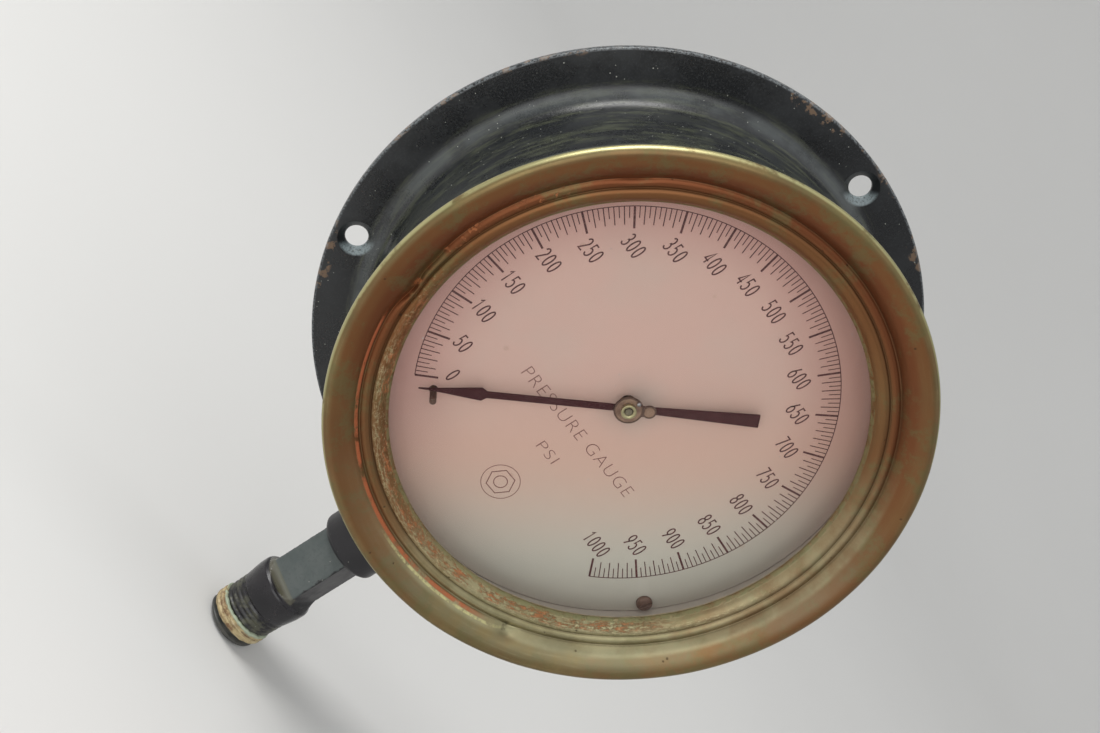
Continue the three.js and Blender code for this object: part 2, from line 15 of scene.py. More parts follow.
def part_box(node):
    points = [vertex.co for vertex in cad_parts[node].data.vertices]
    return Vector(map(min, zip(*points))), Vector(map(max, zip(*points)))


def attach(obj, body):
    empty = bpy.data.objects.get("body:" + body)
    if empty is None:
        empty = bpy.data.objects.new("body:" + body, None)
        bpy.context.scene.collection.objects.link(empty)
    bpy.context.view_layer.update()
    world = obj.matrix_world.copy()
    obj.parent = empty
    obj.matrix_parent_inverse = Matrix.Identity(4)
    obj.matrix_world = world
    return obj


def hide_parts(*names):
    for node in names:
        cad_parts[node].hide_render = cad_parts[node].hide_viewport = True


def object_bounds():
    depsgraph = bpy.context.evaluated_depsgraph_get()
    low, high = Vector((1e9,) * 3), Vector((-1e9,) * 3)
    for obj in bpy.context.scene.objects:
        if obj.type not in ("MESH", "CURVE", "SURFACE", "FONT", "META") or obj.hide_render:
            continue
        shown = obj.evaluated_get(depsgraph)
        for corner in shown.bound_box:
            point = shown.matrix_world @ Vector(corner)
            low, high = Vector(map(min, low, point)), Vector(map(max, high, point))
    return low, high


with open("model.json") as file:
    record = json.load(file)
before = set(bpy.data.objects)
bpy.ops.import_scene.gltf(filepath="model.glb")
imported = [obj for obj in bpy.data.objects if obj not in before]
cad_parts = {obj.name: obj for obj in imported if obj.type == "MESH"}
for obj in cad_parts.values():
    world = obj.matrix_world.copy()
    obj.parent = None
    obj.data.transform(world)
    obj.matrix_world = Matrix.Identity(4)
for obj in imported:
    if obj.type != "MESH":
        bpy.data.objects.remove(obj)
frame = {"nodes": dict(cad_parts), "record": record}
cad_low, cad_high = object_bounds()

MM = 0.001
TURN = 2 * pi

# ---- places taken from the frame
DIAL_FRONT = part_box("dial")[0].y


def deep_of(node, side=0):
    """Depth in mm of a node's front (0) or back (1) behind the dial's front face."""
    return (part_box(node)[side].y - DIAL_FRONT) / MM


def middle_of(node):
    """The [x, z] middle of a node in mm."""
    low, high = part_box(node)
    return ((low.x + high.x) / 2 / MM, (low.z + high.z) / 2 / MM)


DIAL_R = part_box("dial")[1].x / MM
DIAL_T = (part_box("dial")[1].y - DIAL_FRONT) / MM
FLANGE_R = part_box("case")[1].x / MM
BACK_DEEP = -DIAL_FRONT / MM
RIM_FRONT = deep_of("case")
RING_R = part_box("ring")[1].x / MM
GLASS_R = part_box("glass")[1].x / MM
GLASS_DEEP = [deep_of("glass", side) for side in (0, 1)]
STEM_Y = sum(corner.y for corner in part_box("bourdon_tube")) / 2
STEM_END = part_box("socket")[0].z / MM
POINTER_DEEP = [deep_of("pointer", side) for side in (0, 1)]
HUB_FRONT = deep_of("pointer_hub")
STOP_PIN = middle_of("stop_pin")
POINTER_CLOCK = atan2(*STOP_PIN) + radians(1.8)
LOBE_AT = 6.2
BOLT_R = 88.9
DIAL_SCREW_R = middle_of("dial_screw_1")[1]
THIRDS = [0, TURN / 3, 2 * TURN / 3]

SCALE_R = 63.5
SCALE_FROM, SCALE_TO = radians(-135), radians(135)
SCALE_TOP = 1000
SCALE_STEP = 5

# Heights on the stem, from the dial's axis.
SHANK_LOW, SHANK_HIGH = -131.6, -107.4
RUNOUT_FROM = -128.6
BLOCK_LOW = -65.5
THREAD_TOP = -140.6
TAPE_LOW, TAPE_HIGH = -153.0, -148.3

# ---- camera
CAMERA_FROM_DIAL = Vector((-0.2345, -0.4511, 0.1204))
CAMERA_RIGHT = Vector((0.5778, -0.0317, 0.8156))
CAMERA_UP = Vector((-0.7061, 0.4817, 0.5190))
CAMERA_LENS = 57.57


def add_camera():
    data = bpy.data.cameras.new("camera")
    data.sensor_width = 36
    data.lens = CAMERA_LENS
    data.clip_start = 0.01
    camera = bpy.data.objects.new("camera", data)
    bpy.context.scene.collection.objects.link(camera)
    right = CAMERA_RIGHT.normalized()
    back = right.cross(CAMERA_UP).normalized()
    turned_so = Matrix((right, back.cross(right), back)).transposed().to_4x4()
    place = CAMERA_FROM_DIAL + Vector((0, DIAL_FRONT, 0))
    camera.matrix_world = Matrix.Translation(place) @ turned_so
    bpy.context.scene.camera = camera


add_camera()


# ---- mesh helpers
SHARP = 35


def spot(x, deep, z):
    """A place in metres, from millimetres across, behind and above the dial's middle."""
    return Vector((x * MM, DIAL_FRONT + deep * MM, z * MM))


def on_dial(radius, deep, clock, centre=(0, 0)):
    """A place by its distance from an axis parallel to the dial's, its depth and its clock angle."""
    return spot(centre[0] + radius * sin(clock), deep, centre[1] + radius * cos(clock))


def on_stem(radius, height, turn):
    """A place by its distance from the stem's axis, its height and its turn from straight ahead."""
    return Vector((radius * sin(turn) * MM, STEM_Y - radius * cos(turn) * MM, height * MM))


def around(centre):
    """Places about an axis parallel to the dial's through an [x, z] centre."""
    return lambda radius, deep, clock: on_dial(radius, deep, clock, centre)


def ripple(turn, round_it, along):
    """Smooth noise from -1 to 1 that joins up round an axis."""
    return noise.noise(Vector((sin(turn) * round_it, cos(turn) * round_it, along)))


def clock_place(clock, radius):
    return (radius * sin(clock), radius * cos(clock))


def to_object(bm, name, sharp=SHARP):
    bmesh.ops.recalc_face_normals(bm, faces=bm.faces)
    mesh = bpy.data.meshes.new(name)
    bm.to_mesh(mesh)
    bm.free()
    mesh.shade_smooth()
    mesh.set_sharp_from_angle(angle=radians(sharp))
    made = bpy.data.objects.new(name, mesh)
    bpy.context.scene.collection.objects.link(made)
    return made


def turned(name, profile, steps, place=on_dial, shape=None, sharp=SHARP):
    """Turns a closed (radius, along) profile about an axis. shape(radius, along, turn) moves points."""
    bm = bmesh.new()
    rings = []
    for radius, along in profile:
        ring = []
        for i in range(steps if radius > 0 else 1):
            turn = TURN * i / steps
            moved = shape(radius, along, turn) if shape else (radius, along)
            ring.append(bm.verts.new(place(*moved, turn)))
        rings.append(ring)
    if profile[0][0] > 0:
        rings.append(rings[0])
    for first, second in zip(rings, rings[1:]):
        for i in range(steps):
            corners = [
                first[i % len(first)], first[(i + 1) % len(first)],
                second[(i + 1) % len(second)], second[i % len(second)],
            ]
            corners = list(dict.fromkeys(corners))
            if len(corners) > 2:
                bm.faces.new(corners)
    return to_object(bm, name, sharp)


def rounded(points, size=0.5, steps=4, closed=False):
    """Rounds the corners of a polyline. A point's third value is its own size, and 0 keeps it sharp."""
    result = []
    count = len(points)
    for i, point in enumerate(points):
        here = Vector(point[:2])
        own = point[2] if len(point) > 2 else size
        if own == 0 or (not closed and i in (0, count - 1)):
            result.append(tuple(here))
            continue
        before = Vector(points[i - 1][:2]) - here
        after = Vector(points[(i + 1) % count][:2]) - here
        start = here + before.normalized() * min(own, before.length * 0.48)
        end = here + after.normalized() * min(own, after.length * 0.48)
        for step in range(steps + 1):
            t = step / steps
            result.append(tuple(start * (1 - t) ** 2 + here * 2 * t * (1 - t) + end * t * t))
    return result


def smoothed(points, per_span):
    """A Catmull-Rom curve through the points."""
    result = []
    for i in range(len(points) - 1):
        a, b, c, d = (Vector(points[min(max(k, 0), len(points) - 1)]) for k in range(i - 1, i + 3))
        for step in range(per_span):
            t = step / per_span
            bend = (2 * a - 5 * b + 4 * c - d) * t * t + (3 * b - a - 3 * c + d) * t ** 3
            result.append(tuple((2 * b + (c - a) * t + bend) / 2))
    return result + [tuple(points[-1])]


def spaced(start, end, count):
    """Evenly spaced points from start to end, both of them included."""
    a, b = Vector(start), Vector(end)
    return [tuple(a.lerp(b, i / count)) for i in range(count + 1)]


def bevelled_slab(name, outline, deep, bevel, turn=0):
    """An outline of [x, z] points given thickness between two depths, with its long edges bevelled."""
    bm = bmesh.new()
    turning = Matrix.Rotation(turn, 4, "Y")
    face = bm.faces.new([
        bm.verts.new(turning @ Vector((x * MM, 0, z * MM)) + Vector((0, DIAL_FRONT + deep[1] * MM, 0)))
        for x, z in outline
    ])
    grown = bmesh.ops.extrude_face_region(bm, geom=[face])["geom"]
    corners = [item for item in grown if isinstance(item, bmesh.types.BMVert)]
    bmesh.ops.translate(bm, verts=corners, vec=(0, (deep[0] - deep[1]) * MM, 0))
    bmesh.ops.recalc_face_normals(bm, faces=bm.faces)
    rims = [edge for edge in bm.edges if edge.calc_face_angle(0) > radians(60)]
    bmesh.ops.bevel(bm, geom=rims, offset=bevel * MM, segments=2, affect="EDGES", clamp_overlap=True)
    return to_object(bm, name)


def boxed(name, low, high):
    """A plain box between two corners given as (x, deep, z), used as a cutter."""
    bm = bmesh.new()
    bmesh.ops.create_cube(bm, size=1)
    size = [high[i] - low[i] for i in range(3)]
    middle = [(high[i] + low[i]) / 2 for i in range(3)]
    bmesh.ops.scale(bm, vec=[s * MM for s in size], verts=bm.verts)
    bmesh.ops.translate(bm, vec=spot(*middle), verts=bm.verts)
    return to_object(bm, name)


def carve(piece, tools, operation="DIFFERENCE"):
    """Cuts the tools from a piece, or joins them to it, and removes them."""
    for tool in tools:
        modifier = piece.modifiers.new("carve", "BOOLEAN")
        modifier.operation = operation
        modifier.solver = "EXACT"
        modifier.object = tool
    graph = bpy.context.evaluated_depsgraph_get()
    mesh = bpy.data.meshes.new_from_object(piece.evaluated_get(graph))
    piece.modifiers.clear()
    piece.data = mesh
    for tool in tools:
        bpy.data.objects.remove(tool)
    mesh.shade_smooth()
    mesh.set_sharp_from_angle(angle=radians(SHARP))
    return piece


def cylinder(centre, radius, deep0, deep1, steps=48):
    profile = [(0, deep0), (radius, deep0), (radius, deep1), (0, deep1)]
    return turned("tool", profile, steps, around(centre))


def settle(piece, material, slot, *nodes, body="housing"):
    """Gives a finished piece its material, hides the CAD nodes that it stands for and hangs it on its
    body. The slot is not used.
    """
    piece.data.materials.clear()
    piece.data.materials.append(material)
    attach(piece, body)
    if nodes:
        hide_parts(*nodes)


# ---- material helpers
class Finish:
    """A node material under construction, with short calls for the nodes that the finishes share.

    Radii are millimetres from the dial's axis, clock angles are degrees, colours are linear, and a
    share or a mask is a number or a socket from 0 to 1.
    """

    def __init__(self, name, metallic=0.0):
        self.material = bpy.data.materials.new(name)
        self.material.use_nodes = True
        self.tree = self.material.node_tree
        self.shader = self.tree.nodes["Principled BSDF"]
        self.shader.inputs["Metallic"].default_value = metallic
        self.place = self.node("ShaderNodeTexCoord").outputs["Object"]
        parts = self.node("ShaderNodeSeparateXYZ", {0: self.place}).outputs
        self.x, self.y, self.z = parts
        self.radius = self.away_from((0, 0))[2]
        self.clock = self.math("ARCTAN2", self.x, self.z)

    def away_from(self, centre):
        """How far aside, above and away in mm a place is from an [x, z] centre."""
        aside, above = (
            self.minus(self.times(along, 1 / MM), middle)
            for along, middle in zip((self.x, self.z), centre)
        )
        square = self.add(self.times(aside, aside), self.times(above, above))
        return aside, above, self.math("SQRT", square)

    def node(self, kind, inputs=None, **settings):
        made = self.tree.nodes.new(kind)
        for key, value in settings.items():
            setattr(made, key, value)
        for key, value in (inputs or {}).items():
            self.feed(made.inputs[key], value)
        return made

    def feed(self, socket, value):
        """Links an input to another socket, or sets it to a number, a Vector or an (r, g, b) colour."""
        if isinstance(value, bpy.types.NodeSocket):
            self.tree.links.new(value, socket)
        else:
            socket.default_value = (*value, 1) if isinstance(value, tuple) else value

    def math(self, operation, a, b=0.0):
        """The node that calculates operation from two numbers or sockets."""
        return self.node("ShaderNodeMath", {0: a, 1: b}, operation=operation).outputs[0]

    def add(self, a, b):
        return self.math("ADD", a, b)

    def minus(self, a, b):
        return self.math("SUBTRACT", a, b)

    def most(self, a, b):
        return self.math("MAXIMUM", a, b)

    def times(self, a, *others):
        for b in others:
            a = self.math("MULTIPLY", a, b)
        return a

    def invert(self, a):
        return self.minus(1.0, a)

    def noise(self, scale, detail=4.0, rough=0.55, where=None):
        made = self.node("ShaderNodeTexNoise", {
            "Vector": where or self.place, "Scale": scale, "Detail": detail, "Roughness": rough,
        })
        return made.outputs["Fac"]

    def patches(self, scale, detail, rough, low, high):
        """Soft-edged patches: noise that counts as 0 below low and as 1 above high."""
        return self.steps(self.noise(scale, detail, rough), low, high)

    def polar(self, per_mm, round_it, per_metre_deep=0.0):
        """Coordinates that run round the dial's axis, for marks left by turning and wiping."""
        across = self.add(self.times(self.radius, per_mm), self.times(self.y, per_metre_deep))
        return self.node("ShaderNodeCombineXYZ", {
            0: self.times(self.math("SINE", self.clock), round_it),
            1: self.times(self.math("COSINE", self.clock), round_it), 2: across,
        }).outputs[0]

    def steps(self, value, low, high):
        """0 below low, 1 above high and smooth between."""
        made = self.node("ShaderNodeMapRange", {
            "Value": value, "From Min": low, "From Max": high,
        }, interpolation_type="SMOOTHSTEP")
        return made.outputs["Result"]

    def band(self, value, low, high, soft):
        """1 between low and high, falling to 0 over soft on both sides."""
        falling = self.invert(self.steps(value, high, high + soft))
        return self.times(self.steps(value, low - soft, low), falling)

    def near_clock(self, middle, half, soft):
        """1 within half a span of a clock angle in degrees, falling to 0 over soft degrees."""
        turn = self.minus(self.clock, radians(middle))
        return self.steps(
            self.math("COSINE", turn), cos(radians(half + soft)), cos(radians(half)),
        )

    def arc(self, radii, clocks):
        """A band round the dial's axis that is kept to one span of the clock."""
        return self.times(self.band(self.radius, *radii), self.near_clock(*clocks))

    def lower_right(self, aside, above):
        """How far a place lies towards the lower right of the dial."""
        return self.minus(self.times(aside, 0.806), self.times(above, 0.592))

    def specks(self, scale, size, share):
        """Scattered round specks: size is their share of a cell, and share how many cells have one."""
        cells = self.node("ShaderNodeTexVoronoi", {"Vector": self.place, "Scale": scale})
        dot = self.invert(self.steps(cells.outputs["Distance"], size * 0.6, size))
        chosen = self.node("ShaderNodeSeparateColor", {0: cells.outputs["Color"]}).outputs[0]
        return self.times(dot, self.steps(chosen, 1 - share, 1 - share + 0.02))

    def mix(self, share, a, b):
        return self.node("ShaderNodeMix", {0: share, 6: a, 7: b}, data_type="RGBA").outputs[2]

    def lay(self, colour, *masks):
        """Lays a colour over the ones before it, as far as the product of the masks says."""
        self.colour = self.mix(self.times(*masks), self.colour, colour)

    def bump(self, height, strength, distance, under=None):
        inputs = {"Height": height, "Strength": strength, "Distance": distance * MM}
        if under:
            inputs["Normal"] = under
        return self.node("ShaderNodeBump", inputs).outputs[0]

    def done(self, roughness, normal=None, **more):
        inputs = {"Base Color": self.colour, "Roughness": roughness, "Normal": normal, **more}
        for label, value in inputs.items():
            if value is not None:
                self.feed(self.shader.inputs[label], value)
        return self.material


def enamel():
    """Old black enamel: hazy, brushed by wiping, dusty, chipped to rust at the flange's edge, with
    painted highlights: bluish grey along the flange's edge, a bluish line on the fillet and a curved
    bluish glint in each countersink.
    """
    f = Finish("black_enamel")
    haze = f.patches(45, 6, 0.65, 0.40, 0.70)
    grain = f.noise(1500, 4, 0.65)
    swirls = f.noise(1.0, 6, 0.75, f.polar(0.55, 5, 420))
    f.colour = f.mix(haze, (0.0095, 0.0105, 0.0120), (0.021, 0.023, 0.025))
    f.lay((0.040, 0.044, 0.046), f.steps(grain, 0.50, 0.72), 0.5)
    wiped = f.times(f.steps(swirls, 0.46, 0.64), f.band(f.radius, 79, 85, 3))
    f.lay((0.062, 0.068, 0.044), wiped, 0.75)
    chips = f.patches(330, 5, 0.65, 0.53, 0.58)
    patchy = f.patches(23, 2, 0.5, 0.53, 0.61)
    at_edge = f.steps(f.add(f.radius, f.times(patchy, 3.4)), FLANGE_R - 0.4, FLANGE_R + 0.9)
    rust = f.times(chips, at_edge)
    f.lay((0.170, 0.112, 0.072), rust)
    # Painted highlight: bluish grey along the flange's edge, broken by the grain.
    painted_rim_highlight = f.times(f.steps(f.radius, FLANGE_R - 0.9, FLANGE_R - 0.3), f.steps(grain, 0.42, 0.56))
    f.lay((0.20, 0.22, 0.23), painted_rim_highlight, 0.55)
    # Painted highlight: a curved bluish glint on the lower right side of each bolt hole's countersink.
    bare = 0.0
    for clock in THIRDS:
        aside, above, away = f.away_from(clock_place(clock, BOLT_R))
        painted_crescent_highlight = f.steps(f.lower_right(aside, above), 0.8, 3.4)
        bare = f.add(bare, f.times(f.invert(f.steps(away, 5.2, 6.0)), painted_crescent_highlight))
    f.lay((0.24, 0.29, 0.30), bare, f.steps(grain, 0.20, 0.55))
    # Painted highlight: a bluish line along the fillet, in patches.
    film = f.times(f.band(f.radius, 82.6, 83.6, 2.0), f.patches(60, 4, 0.6, 0.30, 0.55))
    f.lay((0.105, 0.118, 0.118), film, 0.5)
    dust = f.most(f.specks(480, 0.12, 0.12), f.specks(1000, 0.18, 0.06))
    f.lay((0.42, 0.43, 0.38), dust, 0.9)
    roughness = f.add(f.add(0.25, f.times(haze, 0.12)), f.times(f.steps(grain, 0.45, 0.75), 0.18))
    roughness = f.add(roughness, f.times(f.most(rust, dust), 0.4))
    peel = f.bump(grain, 0.30, 0.05)
    waves = f.bump(f.noise(70, 4, 0.6), 0.30, 0.30, peel)
    return f.done(roughness, f.bump(f.add(rust, dust), 0.5, 0.08, waves))


def aged_brass():
    """The ring's brass: olive patina and orange corrosion below, with painted dark red-brown reflection
    on the upper side, at both sides and on the lower outer edge, and painted highlights on the lower
    side and along the outer edge.
    """
    f = Finish("aged_brass", metallic=0.8)
    cloudy = f.noise(34, 6, 0.62)
    blotchy = f.noise(85, 5, 0.6)
    fine = f.noise(520, 5, 0.65)
    rubbed = f.noise(1.0, 6, 0.7, f.polar(1.5, 4, 900))
    f.colour = f.mix(f.steps(cloudy, 0.38, 0.62), (0.228, 0.170, 0.073), (0.155, 0.122, 0.056))
    f.lay((0.215, 0.135, 0.058), f.steps(blotchy, 0.45, 0.72), 0.55)
    f.lay((0.34, 0.30, 0.165), f.steps(rubbed, 0.50, 0.78), 0.45)
    reddish = f.patches(15, 4, 0.6, 0.46, 0.62)
    f.lay((0.200, 0.100, 0.048), reddish, 0.45)
    # Painted reflection: dark red-brown on the inner slopes of the upper side and of both sides.
    inward = f.invert(f.steps(f.radius, 83.2, 88.6))
    upper = f.near_clock(-56, 62, 62)
    side = f.times(f.most(f.near_clock(52, 40, 45), f.near_clock(216, 22, 26)), 0.75)
    painted_red_reflection = f.times(f.most(upper, side), f.steps(f.add(inward, f.times(cloudy, 0.3)), 0.1, 0.75))
    f.lay((0.200, 0.080, 0.028), painted_red_reflection, 0.92)
    # Painted reflection, darker red, over the bead and the inner slope of the upper side.
    painted_deep_reflection = f.arc((77.0, 81.8, 2.6), (-40, 65, 50))
    f.lay((0.165, 0.040, 0.014), painted_deep_reflection, 0.6)
    # Painted reflection: brown in blotches on the outer edge of the lower side.
    painted_lower_edge_reflection = f.times(f.steps(f.radius, 84.0, 86.8), f.near_clock(130, 75, 30))
    f.lay((0.185, 0.095, 0.040), painted_lower_edge_reflection, f.steps(blotchy, 0.30, 0.60), 0.45)
    film = f.times(f.patches(58, 7, 0.72, 0.48, 0.60), f.patches(420, 4, 0.7, 0.30, 0.56))
    f.lay((0.150, 0.140, 0.058), film, 0.55)
    stained = f.steps(f.noise(75, 6, 0.7, f.polar(0.08, 12)), 0.56, 0.66)
    f.lay((0.085, 0.050, 0.024), stained, 0.35)
    lit = f.arc((80.6, 83.6, 2.6), (134, 52, 30))
    f.lay((0.34, 0.35, 0.24), lit, f.steps(cloudy, 0.30, 0.62), 0.25)
    # Painted highlight: pale olive on the inner slopes of the lower side.
    pale = f.arc((71.0, 80.4, 1.4), (122, 46, 34))
    f.lay((0.45, 0.43, 0.26), pale, f.add(0.22, f.times(f.steps(blotchy, 0.34, 0.64), 0.30)))
    grooves = f.most(f.band(f.radius, 75.0, 75.5, 0.4), f.band(f.radius, 78.3, 78.6, 0.4))
    f.lay((0.085, 0.060, 0.030), grooves, 0.35)
    line = f.arc((78.9, 79.5, 0.3), (203, 38, 8))
    vermilion = f.times(line, f.patches(150, 5, 0.7, 0.32, 0.50))
    f.lay((0.42, 0.105, 0.034), vermilion, 0.85)
    # Painted highlight: a thin pale line in specks where the vermilion line ends.
    painted_yellow_highlight = f.arc((79.9, 80.2, 0.3), (172, 9, 12))
    f.lay((0.62, 0.58, 0.28), painted_yellow_highlight, f.steps(fine, 0.34, 0.55), 0.8)
    bead_spots = f.times(f.arc((75.9, 78.2, 0.4), (-88, 12, 14)), f.patches(520, 4, 0.6, 0.55, 0.63))
    streaks = f.noise(1.0, 8, 0.8, f.polar(1.3, 22))
    lip = f.arc((70.8, 74.6, 0.4), (188, 55, 25))
    inner_lip = f.times(lip, f.invert(f.steps(f.radius, 72.8, 74.2)))
    orange = f.most(f.times(inner_lip, f.steps(streaks, 0.46, 0.58)), bead_spots)
    orange = f.times(orange, f.patches(70, 4, 0.6, 0.40, 0.56))
    f.lay((0.40, 0.135, 0.042), orange, 0.85)
    # Streaks on the lip's ridge at the lower side: bright brass and painted highlight.
    ridge = f.arc((73.0, 74.4, 0.7), (165, 58, 30))
    gold_and_painted_highlight = f.times(ridge, f.steps(f.noise(1.0, 8, 0.8, f.polar(2.2, 34)), 0.48, 0.58))
    f.lay((0.52, 0.46, 0.27), gold_and_painted_highlight, 0.6)
    grit = f.times(lip, f.patches(1100, 4, 0.7, 0.56, 0.62))
    f.lay((0.52, 0.43, 0.24), grit, 0.4)
    green_edge = f.times(f.band(f.radius, 69.8, 70.8, 0.3), f.steps(fine, 0.36, 0.55))
    f.lay((0.17, 0.18, 0.075), green_edge, 0.55)
    # Painted highlight: pale yellow in blotches along the ring's outer edge.
    rim = f.times(f.steps(f.radius, RING_R - 0.9, RING_R - 0.3), f.steps(blotchy, 0.34, 0.44))
    f.lay((0.55, 0.53, 0.27), rim, 0.6)
    spots = f.specks(380, 0.18, 0.07)
    f.lay((0.05, 0.03, 0.015), spots, 0.6)
    crack = f.arc((77.6, 80.4, 0.5), (153.5, 0.25, 0.5))
    f.lay((0.060, 0.045, 0.026), crack, f.patches(900, 4, 0.7, 0.34, 0.56), 0.5)
    crust = f.most(f.most(vermilion, orange), f.times(green_edge, 0.8))
    roughness = f.add(f.add(0.30, f.times(cloudy, 0.18)), f.times(crust, 0.4))
    metallic = f.minus(0.8, f.times(crust, 0.7))
    normal = f.bump(rubbed, 0.25, 0.08)
    normal = f.bump(blotchy, 0.25, 0.25, normal)
    normal = f.bump(fine, 0.16, 0.08, normal)
    normal = f.bump(crust, 0.7, 0.25, normal)
    normal = f.bump(f.times(spots, -1), 0.5, 0.2, normal)
    return f.done(roughness, normal, Metallic=metallic)


def machined(name, colour, roughness, metallic=1.0, tarnish=(0.4, 0.3, 0.2)):
    """Machined metal of the inner pieces: fine tool marks and a little tarnish."""
    f = Finish(name, metallic=metallic)
    cloudy = f.patches(90, 5, 0.6, 0.40, 0.75)
    marks = f.noise(1.0, 4, 0.6, f.polar(14, 2, 3000))
    tint = tuple(c * t for c, t in zip(colour, tarnish))
    f.colour = f.mix(f.times(cloudy, 0.6), colour, tint)
    spread = f.add(roughness, f.times(f.noise(400, 3), 0.14))
    return f.done(spread, f.bump(marks, 0.18, 0.04))


def hub_brass():
    """Brown lacquered brass, darkest round the edges of the pointer's disc and of its lobe."""
    f = Finish("hub_brass", metallic=0.6)
    cloudy = f.patches(260, 5, 0.6, 0.38, 0.66)
    f.colour = f.mix(cloudy, (0.300, 0.195, 0.130), (0.190, 0.115, 0.080))
    from_lobe = f.away_from(clock_place(POINTER_CLOCK, -LOBE_AT))[2]
    lobe_edge = f.times(f.steps(from_lobe, 1.45, 1.75), f.steps(f.radius, 4.3, 4.6))
    edge = f.most(f.band(f.radius, 4.0, 4.7, 0.25), lobe_edge)
    f.lay((0.055, 0.028, 0.020), edge, 0.8)
    return f.done(f.add(0.34, f.times(cloudy, 0.15)), f.bump(cloudy, 0.2, 0.03))


def dial_face():
    """Silvered dial: warm beige, with painted reflected red light, a rosy cast near its upper edge and
    at its right, and painted grey shade near its lower right edge.
    """
    f = Finish("dial_silver")
    across = f.lower_right(f.x, f.z)
    cloudy = f.noise(24, 4, 0.6)
    grain = f.noise(1500, 2, 0.5)
    f.colour = f.mix(f.steps(cloudy, 0.40, 0.70), (0.610, 0.404, 0.338), (0.585, 0.418, 0.350))
    f.lay((0.605, 0.396, 0.308), f.steps(across, -0.020, 0.035))
    outer = f.steps(f.add(f.radius, f.times(cloudy, 10)), 48, 74)
    # Painted reflected red light: a rosy cast near the upper edge and a warm one at the right.
    painted_pink_cast = f.times(outer, f.invert(f.steps(across, -0.015, 0.030)))
    f.lay((0.500, 0.265, 0.225), painted_pink_cast, 0.8)
    right = f.times(outer, f.near_clock(55, 20, 55))
    f.lay((0.43, 0.25, 0.19), right, 0.45)
    # Painted shade: greyer near the lower right edge.
    lower = f.steps(f.add(across, f.times(cloudy, 0.012)), 0.018, 0.068)
    f.lay((0.500, 0.505, 0.430), lower, 0.9)
    near_hub = f.invert(f.steps(f.add(f.radius, f.times(cloudy, 12)), 11, 22))
    f.lay((0.36, 0.37, 0.32), near_hub, f.steps(cloudy, 0.35, 0.60), 0.35)
    shaded = f.steps(f.radius, 68, 75)
    f.lay((0.25, 0.20, 0.16), shaded, 0.2)
    stains = f.specks(140, 0.16, 0.10)
    f.lay((0.42, 0.28, 0.20), stains, 0.35)
    f.lay((0.35, 0.24, 0.20), f.steps(grain, 0.55, 0.75), 0.12)
    return f.done(f.add(0.50, f.times(cloudy, 0.15)), f.bump(grain, 0.10, 0.03))


def marking_ink(name, dark, pale):
    """Worn maroon printing."""
    f = Finish(name)
    worn = f.patches(900, 4, 0.6, 0.40, 0.80)
    f.colour = f.mix(worn, dark, pale)
    return f.done(0.6, f.bump(worn, 0.1, 0.02))


def pointer_paint():
    """Matt black paint with a maroon cast, rubbed thin along fine lengthwise lines."""
    f = Finish("pointer_paint")
    worn = f.patches(420, 5, 0.65, 0.50, 0.80)
    f.colour = f.mix(worn, (0.036, 0.0045, 0.0070), (0.085, 0.026, 0.030))
    f.lay((0.22, 0.13, 0.12), f.specks(900, 0.2, 0.08), 0.4)
    dull = {"Specular IOR Level": 0.2}
    return f.done(f.add(0.6, f.times(worn, 0.2)), f.bump(worn, 0.2, 0.03), **dull)


def window_glass():
    """Clear old glass with a thin haze, whose rosy tint is a painted reflection, dust and a few flecks.
    """
    f = Finish("window_glass")
    haze = f.patches(17, 4, 0.6, 0.35, 0.75)
    dust = f.most(f.specks(210, 0.06, 0.10), f.specks(90, 0.020, 0.25))
    # The haze's rosy tint is a painted reflection of red surroundings; the dust is pale.
    f.colour = f.mix(dust, (0.62, 0.42, 0.38), (0.92, 0.90, 0.84))
    alpha = f.add(f.add(0.012, f.times(haze, 0.022)), f.times(dust, 0.45))
    rim = f.steps(f.radius, 67.5, 70.0)
    alpha = f.add(alpha, f.times(rim, 0.05))
    return f.done(f.add(0.08, f.times(dust, 0.4)), Alpha=alpha)


